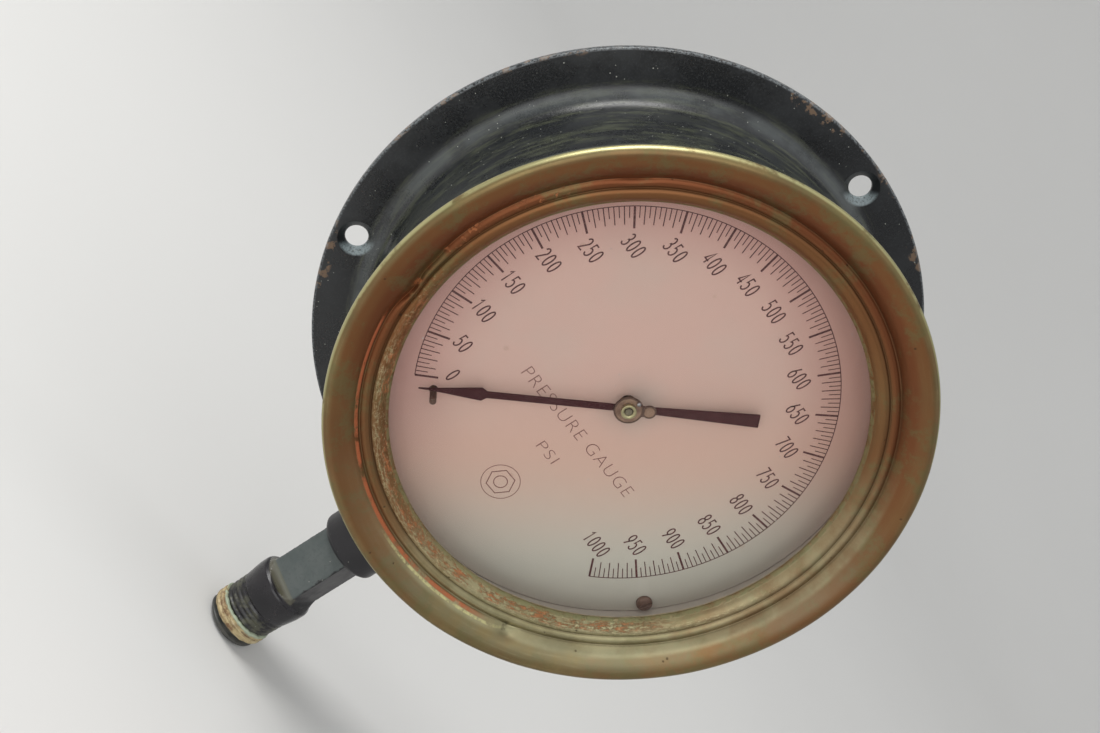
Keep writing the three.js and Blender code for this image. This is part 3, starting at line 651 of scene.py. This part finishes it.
def stem_finish():
    """The stem's black paint: grey and rougher on the left flats, the grey being painted light, with the
    right flats left black as painted shade; glossy on the collar, bare below.
    """
    f = Finish("stem_paint")
    height = f.times(f.z, 1 / MM)
    cloudy = f.patches(120, 5, 0.65, 0.36, 0.70)
    grain = f.noise(900, 4, 0.6)
    flat = f.band(height, -129.3, -107.6, 0.5)
    edge = f.add(f.x, f.times(f.minus(f.noise(260, 5, 0.7), 0.5), 0.004))
    # Painted light: a lighter grey haze on the left flats only, the right flats kept black as painted
    # shade.
    matt_and_painted_lit_flats = f.times(flat, f.invert(f.steps(edge, -0.0004, 0.0003)))
    f.colour = f.mix(cloudy, (0.0065, 0.0058, 0.0080), (0.014, 0.012, 0.015))
    grey = f.mix(cloudy, (0.066, 0.080, 0.078), (0.092, 0.105, 0.102))
    grey = f.mix(f.times(f.steps(grain, 0.5, 0.7), 0.35), grey, (0.045, 0.052, 0.052))
    f.lay(grey, matt_and_painted_lit_flats)
    runout = f.times(f.band(height, -130.6, -128.8, 0.6), f.invert(f.steps(edge, 0.001, 0.002)))
    f.lay((0.125, 0.118, 0.078), runout, 0.6)
    grubby = f.band(height, -151.5, -143.0, 3.0)
    streaks = f.patches(300, 5, 0.7, 0.42, 0.60)
    f.lay((0.085, 0.085, 0.055), grubby, streaks, 0.8)
    bare = f.invert(f.steps(height, -153.6, -152.8))
    f.lay(f.mix(cloudy, (0.040, 0.042, 0.040), (0.085, 0.080, 0.066)), bare, 0.9)
    dust = f.specks(700, 0.13, 0.10)
    f.lay((0.38, 0.38, 0.33), dust, 0.7)
    shiny = f.band(height, -141.5, -130.8, 1.0)
    roughness = f.minus(f.add(0.38, f.times(cloudy, 0.15)), f.times(shiny, 0.18))
    roughness = f.add(roughness, f.times(matt_and_painted_lit_flats, 0.20))
    normal = f.bump(grain, 0.35, 0.08)
    lumps = f.bump(f.noise(150, 4, 0.6), 0.45, 0.35, normal)
    return f.done(roughness, lumps)


def thread_tape():
    """Cream tape gone tan and brown, with a pale green stain along its upper edge."""
    f = Finish("thread_tape")
    height = f.times(f.z, 1 / MM)
    stains = f.patches(200, 6, 0.7, 0.42, 0.60)
    stretched = f.node("ShaderNodeMapping", {0: f.place, 3: Vector((120, 120, 1100))}).outputs[0]
    wrinkles = f.noise(1.0, 5, 0.7, stretched)
    f.colour = f.mix(stains, (0.42, 0.33, 0.17), (0.165, 0.088, 0.040))
    f.lay((0.62, 0.53, 0.34), f.steps(wrinkles, 0.50, 0.68), 0.75)
    f.lay((0.10, 0.062, 0.035), f.steps(wrinkles, 0.44, 0.34), 0.7)
    green = f.steps(f.add(height, f.times(stains, 0.6)), -149.1, -148.5)
    f.lay((0.36, 0.43, 0.32), green, 0.85)
    return f.done(f.add(0.6, f.times(stains, 0.2)), f.bump(wrinkles, 0.7, 0.3))


def soft_packing(name, colour):
    """Rubber or fibre of the inner pieces."""
    f = Finish(name)
    fibres = f.noise(700, 5, 0.7)
    f.colour = f.mix(f.steps(fibres, 0.4, 0.7), colour, tuple(c * 0.55 for c in colour))
    return f.done(f.add(0.75, f.times(fibres, 0.15)), f.bump(fibres, 0.5, 0.1))


ENAMEL = enamel()
RING_BRASS = aged_brass()
CLEAN_BRASS = machined("clean_brass", (0.66, 0.46, 0.18), 0.24, 1.0, (0.62, 0.5, 0.4))
HUB_BRASS = hub_brass()
BOSS_BRASS = machined("boss_brass", (0.46, 0.43, 0.24), 0.26, 0.95, (0.4, 0.35, 0.3))
BRONZE = machined("bronze", (0.52, 0.30, 0.13), 0.28, 1.0, (0.6, 0.45, 0.35))
STEEL = machined("steel", (0.40, 0.40, 0.41), 0.28, 1.0, (0.5, 0.42, 0.35))
RUSTY_STEEL = machined("rusty_steel", (0.150, 0.092, 0.066), 0.55, 0.35, (0.5, 0.4, 0.4))
DIAL_FACE = dial_face()
INK = marking_ink("marking_ink", (0.060, 0.012, 0.013), (0.150, 0.050, 0.046))
FADED_INK = marking_ink("faded_ink", (0.155, 0.058, 0.048), (0.250, 0.120, 0.100))
POINTER_PAINT = pointer_paint()
GLASS = window_glass()
STEM_PAINT = stem_finish()
TAPE = thread_tape()
OLD_STEEL = machined("old_steel", (0.19, 0.175, 0.115), 0.42, 0.8, (0.45, 0.4, 0.35))
RUBBER = soft_packing("grey_rubber", (0.085, 0.080, 0.070))
FIBRE = soft_packing("tan_fibre", (0.42, 0.34, 0.22))


# ---- case
FLANGE_T = 2.6
FLOOR_DEEP = 36.8
RIM_R = 84.8
SEAT_DEEP = -6.4
BOLT_HOLE_R = 3.55
SINK_R = 7.0
SOCKET_SCREWS = [(9.5, -53), (0, -28)]


def make_case():
    """A drum on a flange, with lugs for the dial's screws, bolt holes and a hole for the stem."""
    flange_front = BACK_DEEP - FLANGE_T
    drum_r, fillet_r = 79.5, 7.0
    corner = (drum_r + fillet_r, flange_front - fillet_r)
    fillet = [
        (corner[0] + fillet_r * cos(turn), corner[1] + fillet_r * sin(turn))
        for turn in (radians(90 + 7.5 * i) for i in range(13))
    ]
    profile = [
        *rounded([
            (0, BACK_DEEP, 0), (FLANGE_R, BACK_DEEP, 0.8), (FLANGE_R, flange_front, 0.9), fillet[0],
        ], 0.8, 5)[:-1],
        *fillet,
        *rounded([
            fillet[-1], (drum_r, 1.5, 4), (RIM_R, -5.5, 3), (RIM_R, RIM_FRONT, 0.7),
            (81.3, RIM_FRONT, 0.3), (81.3, SEAT_DEEP, 0.2), (77.2, SEAT_DEEP, 0.2), (77.2, 1.3, 0.2),
            (75.5, 1.3, 0.3), (75.5, FLOOR_DEEP - 3, 2), (72.5, FLOOR_DEEP, 2), (0, FLOOR_DEEP, 0),
        ], 0.5, 4)[1:],
    ]
    case = turned("case_shell", profile, 256)
    lugs = [cylinder(clock_place(clock, DIAL_SCREW_R - 1), 5, 1.3, 10) for clock in THIRDS]
    pads = [cylinder(centre, 5.5, 26.8, 37.5) for centre in SOCKET_SCREWS]
    neck = rounded([(0, -76), (13.5, -76, 0), (13.5, -83, 0.8), (0, -83, 0)])
    boss = turned("tool", neck, 96, on_stem)
    carve(case, [*lugs, *pads, boss], "UNION")
    sinks = [
        turned("tool", rounded([
            (0, flange_front - 1, 0), (SINK_R, flange_front - 1, 0),
            (BOLT_HOLE_R, flange_front + 1.8, 0.5), (BOLT_HOLE_R, BACK_DEEP + 1, 0),
            (0, BACK_DEEP + 1, 0),
        ]), 64, around(clock_place(clock, BOLT_R)))
        for clock in THIRDS
    ]
    screw_holes = [
        turned("tool", [
            (0, 25), (2.35, 25), (2.35, BACK_DEEP - 3.2), (5.2, BACK_DEEP - 0.2),
            (5.2, BACK_DEEP + 1), (0, BACK_DEEP + 1),
        ], 48, around(centre))
        for centre in SOCKET_SCREWS
    ]
    taps = [cylinder(clock_place(clock, DIAL_SCREW_R), 1.6, 0, 8.5, 24) for clock in THIRDS]
    stem_hole = turned("tool", [(0, -60), (12.0, -60), (12.0, -100), (0, -100)], 96, on_stem)
    carve(case, [*sinks, *screw_holes, *taps, stem_hole])
    settle(case, ENAMEL, "case_enamel", "case")


def make_socket_screws():
    """The countersunk screws at the back that hold the socket block."""
    for i, (x, z) in enumerate(SOCKET_SCREWS):
        top = BACK_DEEP - 0.45
        profile = rounded([
            (0, 20, 0), (2, 20, 0.3), (2, top - 2.75, 0.2),
            (4.6, top - 0.15, 0.12), (4.4, top, 0.12), (0, top, 0),
        ])
        screw = turned(f"socket_screw_{i + 1}_fine", profile, 64, around((x, z)))
        slot = boxed("tool", (x - 6, top - 1.2, z - 0.55), (x + 6, top + 1, z + 0.55))
        settle(carve(screw, [slot]), OLD_STEEL, "steel", f"socket_screw_{i + 1}")


# ---- ring and glass
def ring_dents(radius, deep, clock):
    """Knocks in the ring: a hard one near 8 o'clock that pushed the bead inwards, and lighter ones."""
    def knock(middle, width):
        away = (degrees(clock) - middle + 180) % 360 - 180
        return exp(-(away / width) ** 2)

    bead = exp(-((radius - 79.0) / 3.2) ** 2)
    hard = (knock(252, 4.2) + 0.55 * knock(260, 4.5)) * bead
    light = knock(305, 4.0) * bead
    nick = knock(153, 2.4) * exp(-((radius - 79.5) / 2.0) ** 2)
    lumps = ripple(clock, 5, radius * 0.12) * 0.2
    radius += -2.0 * hard - 0.6 * light + 0.9 * nick
    deep += 1.4 * hard + 0.4 * light + 0.8 * nick + lumps * (1 if deep < -12.5 else 0)
    return radius, deep


def make_ring():
    """A flared front with a bead and a ridge inside it, and a flat back that is screwed on the rim."""
    front = smoothed([
        (70.1, -12.2), (70.6, -12.9), (72, -14.5), (73.6, -15.3), (74.8, -15.0),
        (75.3, -14.5), (75.9, -14.9), (76.8, -15.25), (77.7, -15.05), (78.4, -14.75),
        (79.2, -15.8), (80.8, -17.5), (83.2, -19), (85.6, -19.9), (87.2, -20.05),
        (88.4, -19.3), (RING_R - 0.02, -18.2), (88.6, -17.2), (87.4, -15.9), (86.6, -15.1),
    ], 4)
    back = rounded([
        front[-1], (80.95, -15.1, 0.3), (80.95, -11.5, 0.4), (70.1, -11.5, 0.2), front[0],
    ], 0.3, 3)[1:-1]
    ring = turned("bezel_ring", [*front, *back], 512, shape=ring_dents)
    settle(ring, RING_BRASS, "aged_brass", "ring", body="bezel_ring")


def make_glass():
    near, far = GLASS_DEEP
    profile = rounded([(0, near, 0), (GLASS_R - 0.1, near, 0.4), (GLASS_R - 0.1, far, 0.4), (0, far, 0)])
    glass = turned("window_glass", profile, 192)
    settle(glass, GLASS, "clear_glass", "glass")


# ---- dial
def make_dial():
    """The dial's plate with its holes, and the thin liner round it."""
    profile = rounded([(0, 0, 0), (DIAL_R, 0, 0.25), (DIAL_R, DIAL_T, 0.15), (0, DIAL_T, 0)])
    dial = turned("dial_plate", profile, 256)
    holes = [cylinder(clock_place(clock, DIAL_SCREW_R), 1.9, -1, 3, 32) for clock in THIRDS]
    holes += [cylinder((0, 0), 2.6, -1, 3, 48), cylinder(STOP_PIN, 1.35, -1, 3, 32)]
    carve(dial, holes)
    settle(dial, DIAL_FACE, "dial_silver", "dial")
    outer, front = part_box("dial_liner")[1].x / MM, deep_of("dial_liner")
    inner = outer - 0.4
    profile = rounded([
        (inner, front), (outer, front), (outer, DIAL_T), (inner, DIAL_T),
    ], 0.12, 3, True)
    liner = turned("dial_liner_fine", profile, 256)
    settle(liner, DIAL_FACE, "dial_silver", "dial_liner")


PRINT_DEEP = (-0.035, 0.02)
TICKS = [(50, (6.9, 0.66)), (10, (5.7, 0.32)), (5, (3.6, 0.29))]
NUMERAL_HIGH, NUMERAL_WIDE = 4.6, 1.45
NUMERAL_PITCH = 2.5
NUMERAL_STROKE = 0.46
NUMBERS_R = 51.2
FIRST_NUMBERS_R = 52.5
ZERO_ASIDE = radians(1.7)


def add_stroke(bm, points, width):
    """A printed line of even width through [x, z] points, standing just proud of the dial."""
    points = [Vector(point) for point in points]
    closed = (points[0] - points[-1]).length < 1e-6
    if closed:
        points.pop()
    count = len(points)
    rings = []
    for i, point in enumerate(points):
        before = point - points[i - 1] if closed or i > 0 else points[1] - point
        after = points[(i + 1) % count] - point if closed or i < count - 1 else before
        aim = before.normalized() + after.normalized()
        across = Vector((aim.y, -aim.x)).normalized() * width / 2
        across /= max(0.6, across.normalized().dot(Vector((after.y, -after.x)).normalized()))
        ring = []
        for side, deep in ((-1, 0), (1, 0), (1, 1), (-1, 1)):
            x, z = point + side * across
            ring.append(bm.verts.new(spot(x, PRINT_DEEP[deep], z)))
        rings.append(ring)
    for i in range(count if closed else count - 1):
        first, second = rings[i], rings[(i + 1) % count]
        for k in range(4):
            bm.faces.new([first[k], first[(k + 1) % 4], second[(k + 1) % 4], second[k]])
    if not closed:
        bm.faces.new(rings[0])
        bm.faces.new(rings[-1])


def oval(x, z, wide, high, start, end, steps=20):
    """Points on an oval, with angles in degrees from 3 o'clock, anticlockwise."""
    turns = [radians(start + (end - start) * i / steps) for i in range(steps + 1)]
    return [(x + wide * cos(t), z + high * sin(t)) for t in turns]


# Narrow numerals in a cell of 1 by 1, each a list of strokes.
NUMERALS = {
    "0": [oval(0.5, 0.5, 0.5, 0.5, 0, 360, 28)],
    "1": [[(0.12, 0.80), (0.55, 1.0), (0.55, 0.0)]],
    "2": [[*oval(0.5, 0.74, 0.47, 0.26, 165, -25, 14), (0.02, 0.0), (1.0, 0.0)]],
    "3": [[*oval(0.45, 0.75, 0.43, 0.25, 150, -85, 14), *oval(0.45, 0.27, 0.52, 0.27, 80, -150, 16)]],
    "4": [[(0.74, 0.0), (0.74, 1.0), (0.0, 0.27), (1.05, 0.27)]],
    "5": [[(0.92, 1.0), (0.18, 1.0), (0.08, 0.56), *oval(0.42, 0.31, 0.55, 0.31, 118, -150, 18)]],
    "6": [[(0.78, 1.0), *oval(0.5, 0.30, 0.5, 0.30, 160, 520, 26)]],
    "7": [[(0.0, 1.0), (1.0, 1.0), (0.32, 0.0)]],
    "8": [oval(0.5, 0.76, 0.42, 0.24, -90, 270, 20), oval(0.5, 0.26, 0.5, 0.26, 90, 450, 20)],
    "9": [[(0.22, 0.0), *oval(0.5, 0.70, 0.5, 0.30, -20, 340, 26)]],
}


def add_number(bm, value, centre):
    """An upright number whose middle is at an [x, z] centre."""
    digits = str(value)
    left = centre[0] - (NUMERAL_PITCH * (len(digits) - 1) + NUMERAL_WIDE) / 2
    low = centre[1] - NUMERAL_HIGH / 2
    for i, digit in enumerate(digits):
        start = left + i * NUMERAL_PITCH
        for stroke in NUMERALS[digit]:
            placed = [(start + x * NUMERAL_WIDE, low + z * NUMERAL_HIGH) for x, z in stroke]
            add_stroke(bm, placed, NUMERAL_STROKE)


def add_text(bm, words, height, width, centre):
    """Upright lettering, fitted to a height and a width in mm about an [x, z] centre."""
    curve = bpy.data.curves.new("words", "FONT")
    curve.body = words
    curve.extrude = 0.5
    curve.offset = -0.024
    curve.resolution_u = 5
    curve.space_character = 1.12
    written = bpy.data.objects.new("words", curve)
    bpy.context.scene.collection.objects.link(written)
    bpy.context.view_layer.update()
    mesh = bpy.data.meshes.new_from_object(written.evaluated_get(bpy.context.evaluated_depsgraph_get()))
    bpy.data.objects.remove(written)
    xs = [v.co.x for v in mesh.vertices]
    ys = [v.co.y for v in mesh.vertices]
    middle = Vector(((min(xs) + max(xs)) / 2, (min(ys) + max(ys)) / 2))
    scale_x, scale_y = width / (max(xs) - min(xs)), height / (max(ys) - min(ys))
    for v in mesh.vertices:
        deep = PRINT_DEEP[0] if v.co.z > 0 else PRINT_DEEP[1]
        x, z = (v.co.x - middle.x) * scale_x, (v.co.y - middle.y) * scale_y
        v.co = spot(centre[0] + x, deep, centre[1] + z)
    bm.from_mesh(mesh)
    bpy.data.meshes.remove(mesh)


def add_emblem(bm, centre):
    """A plain mark, a hexagon nut in a circle."""
    x, z = centre
    add_stroke(bm, oval(x, z, 6.0, 6.0, 0, 360, 64), 0.22)
    add_stroke(bm, oval(x, z, 4.4, 4.4, 0, 360, 6), 0.30)
    add_stroke(bm, oval(x, z, 2.1, 2.1, 0, 360, 32), 0.30)


def make_markings():
    """The scale in dark ink, and the words and the mark in faded ink."""
    bm = bmesh.new()
    sweep = SCALE_TO - SCALE_FROM
    add_stroke(bm, [clock_place(SCALE_FROM + sweep * i / 180, SCALE_R) for i in range(181)], 0.28)
    for value in range(0, SCALE_TOP + 1, SCALE_STEP):
        clock = SCALE_FROM + sweep * value / SCALE_TOP
        length, width = next(size for step, size in TICKS if value % step == 0)
        add_stroke(bm, [clock_place(clock, SCALE_R - length), clock_place(clock, SCALE_R)], width)
        if value % 50 == 0:
            aside = ZERO_ASIDE if value == 0 else 0
            radius = FIRST_NUMBERS_R if value <= 200 else NUMBERS_R
            add_number(bm, value, clock_place(clock + aside, radius))
    settle(to_object(bm, "dial_markings"), INK, "black_paint")
    bm = bmesh.new()
    add_text(bm, "PRESSURE GAUGE", 4.0, 54, (0, -17.6))
    add_text(bm, "PSI", 3.4, 8.0, (0, -29))
    add_emblem(bm, (0, -46.6))
    settle(to_object(bm, "dial_lettering"), FADED_INK, "black_paint")


def slotted_head(name, centre, head_r, top, under, slot_turn, shank_r, tip):
    """A screw with a domed slotted head, about an axis parallel to the dial's."""
    dome = (under - top) * 0.45
    profile = [
        (0, top), (head_r * 0.35, top + dome * 0.10), (head_r * 0.7, top + dome * 0.42),
        *rounded([
            (head_r * 0.92, top + dome * 0.85), (head_r, top + dome * 1.25, 0.2), (head_r, under, 0.15),
            (shank_r, under, 0), (shank_r, tip, 0.3), (0, tip),
        ], 0.2, 3),
    ]
    screw = turned(name, profile, 64, around(centre))
    slot = boxed("tool", (-head_r - 1, top - 1, -head_r * 0.13), (head_r + 1, top + dome, head_r * 0.13))
    slot.data.transform(Matrix.Rotation(slot_turn, 4, "Y"))
    slot.data.transform(Matrix.Translation((centre[0] * MM, 0, centre[1] * MM)))
    return carve(screw, [slot])


def make_dial_screws():
    """The three screws of the dial, and the pin that stops the pointer at zero."""
    for i, clock in enumerate(THIRDS):
        node = f"dial_screw_{i + 1}"
        low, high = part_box(node)
        head_r = (high.x - low.x) / 2 / MM
        place = clock_place(clock, DIAL_SCREW_R)
        screw = slotted_head(
            f"{node}_fine", place, head_r, deep_of(node), -0.3, 0.5 + 1.3 * i, 1.3, 8,
        )
        settle(screw, RUSTY_STEEL, "steel", node)
    top = deep_of("stop_pin")
    pin = turned("stop_pin_fine", rounded([
        (0, top, 0), (1.05, top, 0.35), (1.05, 0.95, 0), (0, 0.95, 0),
    ]), 32, around(STOP_PIN))
    settle(pin, HUB_BRASS, "clean_brass", "stop_pin")


# ---- pointer
def make_pointer():
    """A flat needle: a disc in the middle, a blade that widens and tapers to a point, and a tail."""
    right_side = [
        (1.1, 5.6), (1.05, 41.9), (2.13, 43.5), (1.6, 48.0), (0.85, 54.0), (0.32, 58.8), (0.13, 62.1),
    ]
    left_side = [(-x, z) for x, z in reversed(right_side)]
    tail = [(-1.2, -8.4), (-2.18, -39.4), (2.18, -39.4), (1.2, -8.4)]
    outline = [
        *oval(0, 0, 3.9, 3.9, -75, 75, 14), *right_side, *left_side,
        *oval(0, 0, 3.9, 3.9, 105, 255, 24), *tail,
    ]
    needle = bevelled_slab("pointer_needle", outline, POINTER_DEEP, 0.16, POINTER_CLOCK)
    carve(needle, [cylinder((0, 0), 2.7, POINTER_DEEP[0] - 1, POINTER_DEEP[1] + 1)])
    settle(needle, POINTER_PAINT, "black_paint", "pointer", body="pointer_assembly")


def make_pointer_hub():
    """A disc with a smaller lobe towards the tail, and a turned boss on the pointer's axis."""
    disc_r, lobe_r = 4.45, 2.15
    front, back = POINTER_DEEP[0] - 0.9, POINTER_DEEP[0] - 0.3
    waist = [(1.95, -4.25), (1.75, -4.75)]
    start = degrees(atan2(waist[0][1], waist[0][0]))
    lobe_start = degrees(atan2(waist[1][1] + LOBE_AT, waist[1][0]))
    keyhole = [
        *oval(0, 0, disc_r, disc_r, start, 180 - start, 56),
        (-waist[1][0], waist[1][1]),
        *oval(0, -LOBE_AT, lobe_r, lobe_r, 180 - lobe_start, 360 + lobe_start, 24),
    ]
    hub = bevelled_slab("pointer_hub_disc", keyhole, (front, back), 0.2, POINTER_CLOCK)
    carve(hub, [cylinder((0, 0), 1.9, front - 1, back + 1)])
    settle(hub, HUB_BRASS, "aged_brass", "pointer_hub", body="pointer_assembly")
    boss = turned("pointer_boss", rounded([
        (1.2, HUB_FRONT + 1.2, 0.1), (1.25, HUB_FRONT + 0.35, 0.15), (1.7, HUB_FRONT, 0.2),
        (2.38, HUB_FRONT, 0.45), (2.38, HUB_FRONT + 1.0, 0.1), (2.1, HUB_FRONT + 1.25, 0.1),
        (2.1, -1.25, 0.1), (1.2, -1.25, 0.1),
    ], 0.2, 4, True), 64)
    settle(boss, BOSS_BRASS, "aged_brass", body="pointer_assembly")


def make_adjusting_screw():
    node = "pointer_adjusting_screw"
    top = deep_of(node)
    screw = slotted_head(
        "adjusting_screw_fine", middle_of(node), 0.7, top, top + 0.8, 1.1, 0.3, top + 1.6,
    )
    settle(screw, STEEL, "steel", node, body="pointer_assembly")


# ---- stem
THREAD_PITCH = 1.814
SHANK_HALF = 7.25


def thread_phase(height, turn):
    """How far a place is from one thread to the next, from 0 to 1."""
    return ((height - STEM_END) / THREAD_PITCH - turn / TURN) % 1


def square_reach(turn):
    """Distance from the stem's axis to the square shank, which has a corner straight ahead."""
    away = turn - radians(45)
    return SHANK_HALF / max(abs(cos(away)), abs(sin(away)))


def stem_shape(radius, height, turn):
    """Cuts the thread's helix and the square shank into the turned stem."""
    if height < THREAD_TOP and radius > 9:
        tooth = max(0.0, min(1.0, abs(thread_phase(height, turn) * 2 - 1) * 1.35 - 0.15))
        painted = 0.35 + 0.65 * min(1.0, max(0.0, (-146.5 - height) / 3))
        fading = min(1.0, max(0.0, (height - STEM_END - 0.9) / 1.2))
        lumpy = 0.25 * ripple(turn, 3, height * 0.9)
        radius -= 1.05 * (1 - tooth) * painted * fading * (1 + lumpy)
    if SHANK_LOW < height < SHANK_HIGH:
        ragged = ripple(turn, 4, height * 1.3)
        ragged += 0.5 * noise.noise(Vector((turn * 2, 3.0, height * 3.1)))
        reach = square_reach(turn)
        runout = max(0.0, (RUNOUT_FROM - height) / 3.0)
        reach += 4.2 * runout ** 2
        radius = min(radius, reach, 9.95 + 0.16 * ragged + 4.2 * runout)
    return radius, height


def make_stem():
    end_r = 9.85
    profile = [
        (0, -146.0),
        *rounded([
            (2.4, -146.0, 0), (2.4, STEM_END, 0.5), (8.5, STEM_END, 0.4), (end_r, STEM_END + 1.2),
        ])[:-1],
        *spaced((end_r, STEM_END + 1.2), (end_r + 0.45, THREAD_TOP), 120),
        *rounded([
            (10.3, THREAD_TOP), (10.35, -140.3, 0.5), (11.08, -135.4, 1.6), (11.08, -131.9, 0.9),
            (10.2, -131.1, 0.6), (10.1, -130.4),
        ], 0.5, 5)[1:-1],
        *spaced((10.1, -130.4), (10.25, -107.9), 60),
        *rounded([
            (10.25, -107.7), (10.4, -107.3, 0.2), (11.7, -106.2, 0.9), (11.7, -66, 0), (0, -66, 0),
        ], 0.5, 4)[1:],
    ]
    stem = turned("stem", profile, 288, on_stem, stem_shape)
    settle(stem, STEM_PAINT, "case_enamel", "socket")


def make_socket_block():
    """The part of the socket that is inside the case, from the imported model."""
    bm = bmesh.new()
    bm.from_mesh(frame["nodes"]["socket"].data)
    bmesh.ops.remove_doubles(bm, verts=bm.verts, dist=1e-6)
    bmesh.ops.bisect_plane(
        bm, geom=[*bm.verts, *bm.edges, *bm.faces], plane_co=(0, 0, BLOCK_LOW * MM), plane_no=(0, 0, 1),
        clear_inner=True,
    )
    bmesh.ops.holes_fill(bm, edges=[edge for edge in bm.edges if edge.is_boundary])
    block = to_object(bm, "socket_block", 30)
    settle(block, ENAMEL, "case_enamel")


def tape_shape(radius, height, turn):
    """Frayed edges and wrinkles of a tape wound on the thread."""
    fray = ripple(turn, 6, 2.0)
    slant = 0.5 * sin(turn + 0.6)
    height += slant + (0.35 * fray if height > TAPE_LOW + 2.1 else 0.22 * fray)
    wrinkle = ripple(turn, 7, height * 1.7)
    radius += -0.16 * cos(thread_phase(height, turn) * TURN) + 0.16 * wrinkle
    return radius, height


def make_tape():
    outer, inner = 10.38, 9.4
    rows = 26
    profile = [
        (inner, TAPE_LOW), *rounded([(outer - 0.25, TAPE_LOW), (outer, TAPE_LOW + 0.3)], 0.1),
        *spaced((outer, TAPE_LOW + 0.4), (outer + 0.1, TAPE_HIGH - 0.4), rows),
        (outer - 0.15, TAPE_HIGH), (inner, TAPE_HIGH),
    ]
    tape = turned("thread_tape", profile, 220, on_stem, tape_shape, 60)
    settle(tape, TAPE, "fibre")


# ---- pieces kept from the CAD model
def dress_cad_nodes():
    """The pieces inside the case keep their CAD shape and get the finish of their material slot."""
    finishes = {
        "clean_brass": CLEAN_BRASS, "bronze": BRONZE, "steel": STEEL, "packing": RUBBER, "fibre": FIBRE,
        "case_enamel": ENAMEL, "aged_brass": RING_BRASS, "clear_glass": GLASS, "dial_silver": DIAL_FACE,
        "black_paint": POINTER_PAINT,
    }
    for part in frame["record"]["subparts"]:
        node = frame["nodes"][part["node"]]
        node.data.materials.clear()
        finish = OLD_STEEL if part["node"] == "pinion" else finishes[part["material_slot"]]
        node.data.materials.append(finish)
        node.data.shade_smooth()
        node.data.set_sharp_from_angle(angle=radians(32))


# ---- floor and light
FLOOR_GAP = 0.0006
KEY_FROM = Vector((-0.80, 0.06, 0.62))
FILL_FROM = Vector((-0.45, -1.10, 0.20))
WORLD_RISE = (-0.1, 0.9)
WORLD_LIGHT = (0.30, 0.95)


def add_area(name, place, aim, size, power, colour=(1, 1, 1)):
    data = bpy.data.lights.new(name, "AREA")
    data.size = size
    data.energy = power
    data.color = colour
    light = bpy.data.objects.new(name, data)
    light.location = place
    light.rotation_euler = (aim - place).to_track_quat("-Z", "Y").to_euler()
    light.visible_camera = False
    bpy.context.scene.collection.objects.link(light)


def add_sweep(name, ahead, width=16, near=4, flat=1.3, bend=1.2, tall=5):
    """A floor that curves up into a wall on the side that lies ahead."""
    ahead = Vector((ahead.x, ahead.y, 0)).normalized()
    aside = Vector((-ahead.y, ahead.x, 0))
    side_on = [(-near, 0), (0, 0), (flat, 0)]
    for i in range(1, 17):
        turn = radians(90 * i / 16)
        side_on.append((flat + bend * sin(turn), bend * (1 - cos(turn))))
    side_on.append((flat + bend, bend + tall))
    bm = bmesh.new()
    rows = [
        [bm.verts.new(ahead * x + aside * side * width / 2 + Vector((0, 0, z))) for side in (-1, 1)]
        for x, z in side_on
    ]
    for first, second in zip(rows, rows[1:]):
        bm.faces.new([first[0], first[1], second[1], second[0]])
    sweep = to_object(bm, name, 60)
    sweep.location.z = cad_low.z - FLOOR_GAP
    return sweep


def add_stage():
    """A pale floor and wall, a world that is brighter above, and two lamps."""
    backdrop = add_sweep("backdrop", CAMERA_RIGHT.cross(CAMERA_UP) * -1)
    pale = Finish("pale_paper")
    cloudy = pale.noise(3, 3)
    pale.colour = pale.mix(cloudy, (0.66, 0.655, 0.64), (0.70, 0.695, 0.68))
    backdrop.data.materials.append(pale.done(0.85))
    world = bpy.data.worlds.new("studio")
    world.use_nodes = True
    nodes, links = world.node_tree.nodes, world.node_tree.links
    height = nodes.new("ShaderNodeSeparateXYZ")
    links.new(nodes.new("ShaderNodeTexCoord").outputs["Generated"], height.inputs[0])
    brightness = nodes.new("ShaderNodeMapRange")
    labels = ("From Min", "From Max", "To Min", "To Max")
    for label, value in zip(labels, (*WORLD_RISE, *WORLD_LIGHT)):
        brightness.inputs[label].default_value = value
    links.new(height.outputs["Z"], brightness.inputs["Value"])
    links.new(brightness.outputs["Result"], nodes["Background"].inputs["Strength"])
    nodes["Background"].inputs["Color"].default_value = (0.98, 0.99, 1.0, 1)
    bpy.context.scene.world = world
    middle = Vector((0, DIAL_FRONT, 0))
    add_area("key", KEY_FROM, middle, 0.5, 7.5, (1.0, 0.99, 0.97))
    add_area("fill", FILL_FROM, middle, 1.0, 5)
    bpy.context.scene.view_settings.view_transform = "Standard"


dress_cad_nodes()
make_case()
make_socket_screws()
make_ring()
make_glass()
make_dial()
make_markings()
make_dial_screws()
make_pointer()
make_pointer_hub()
make_adjusting_screw()
make_stem()
make_socket_block()
make_tape()
add_stage()
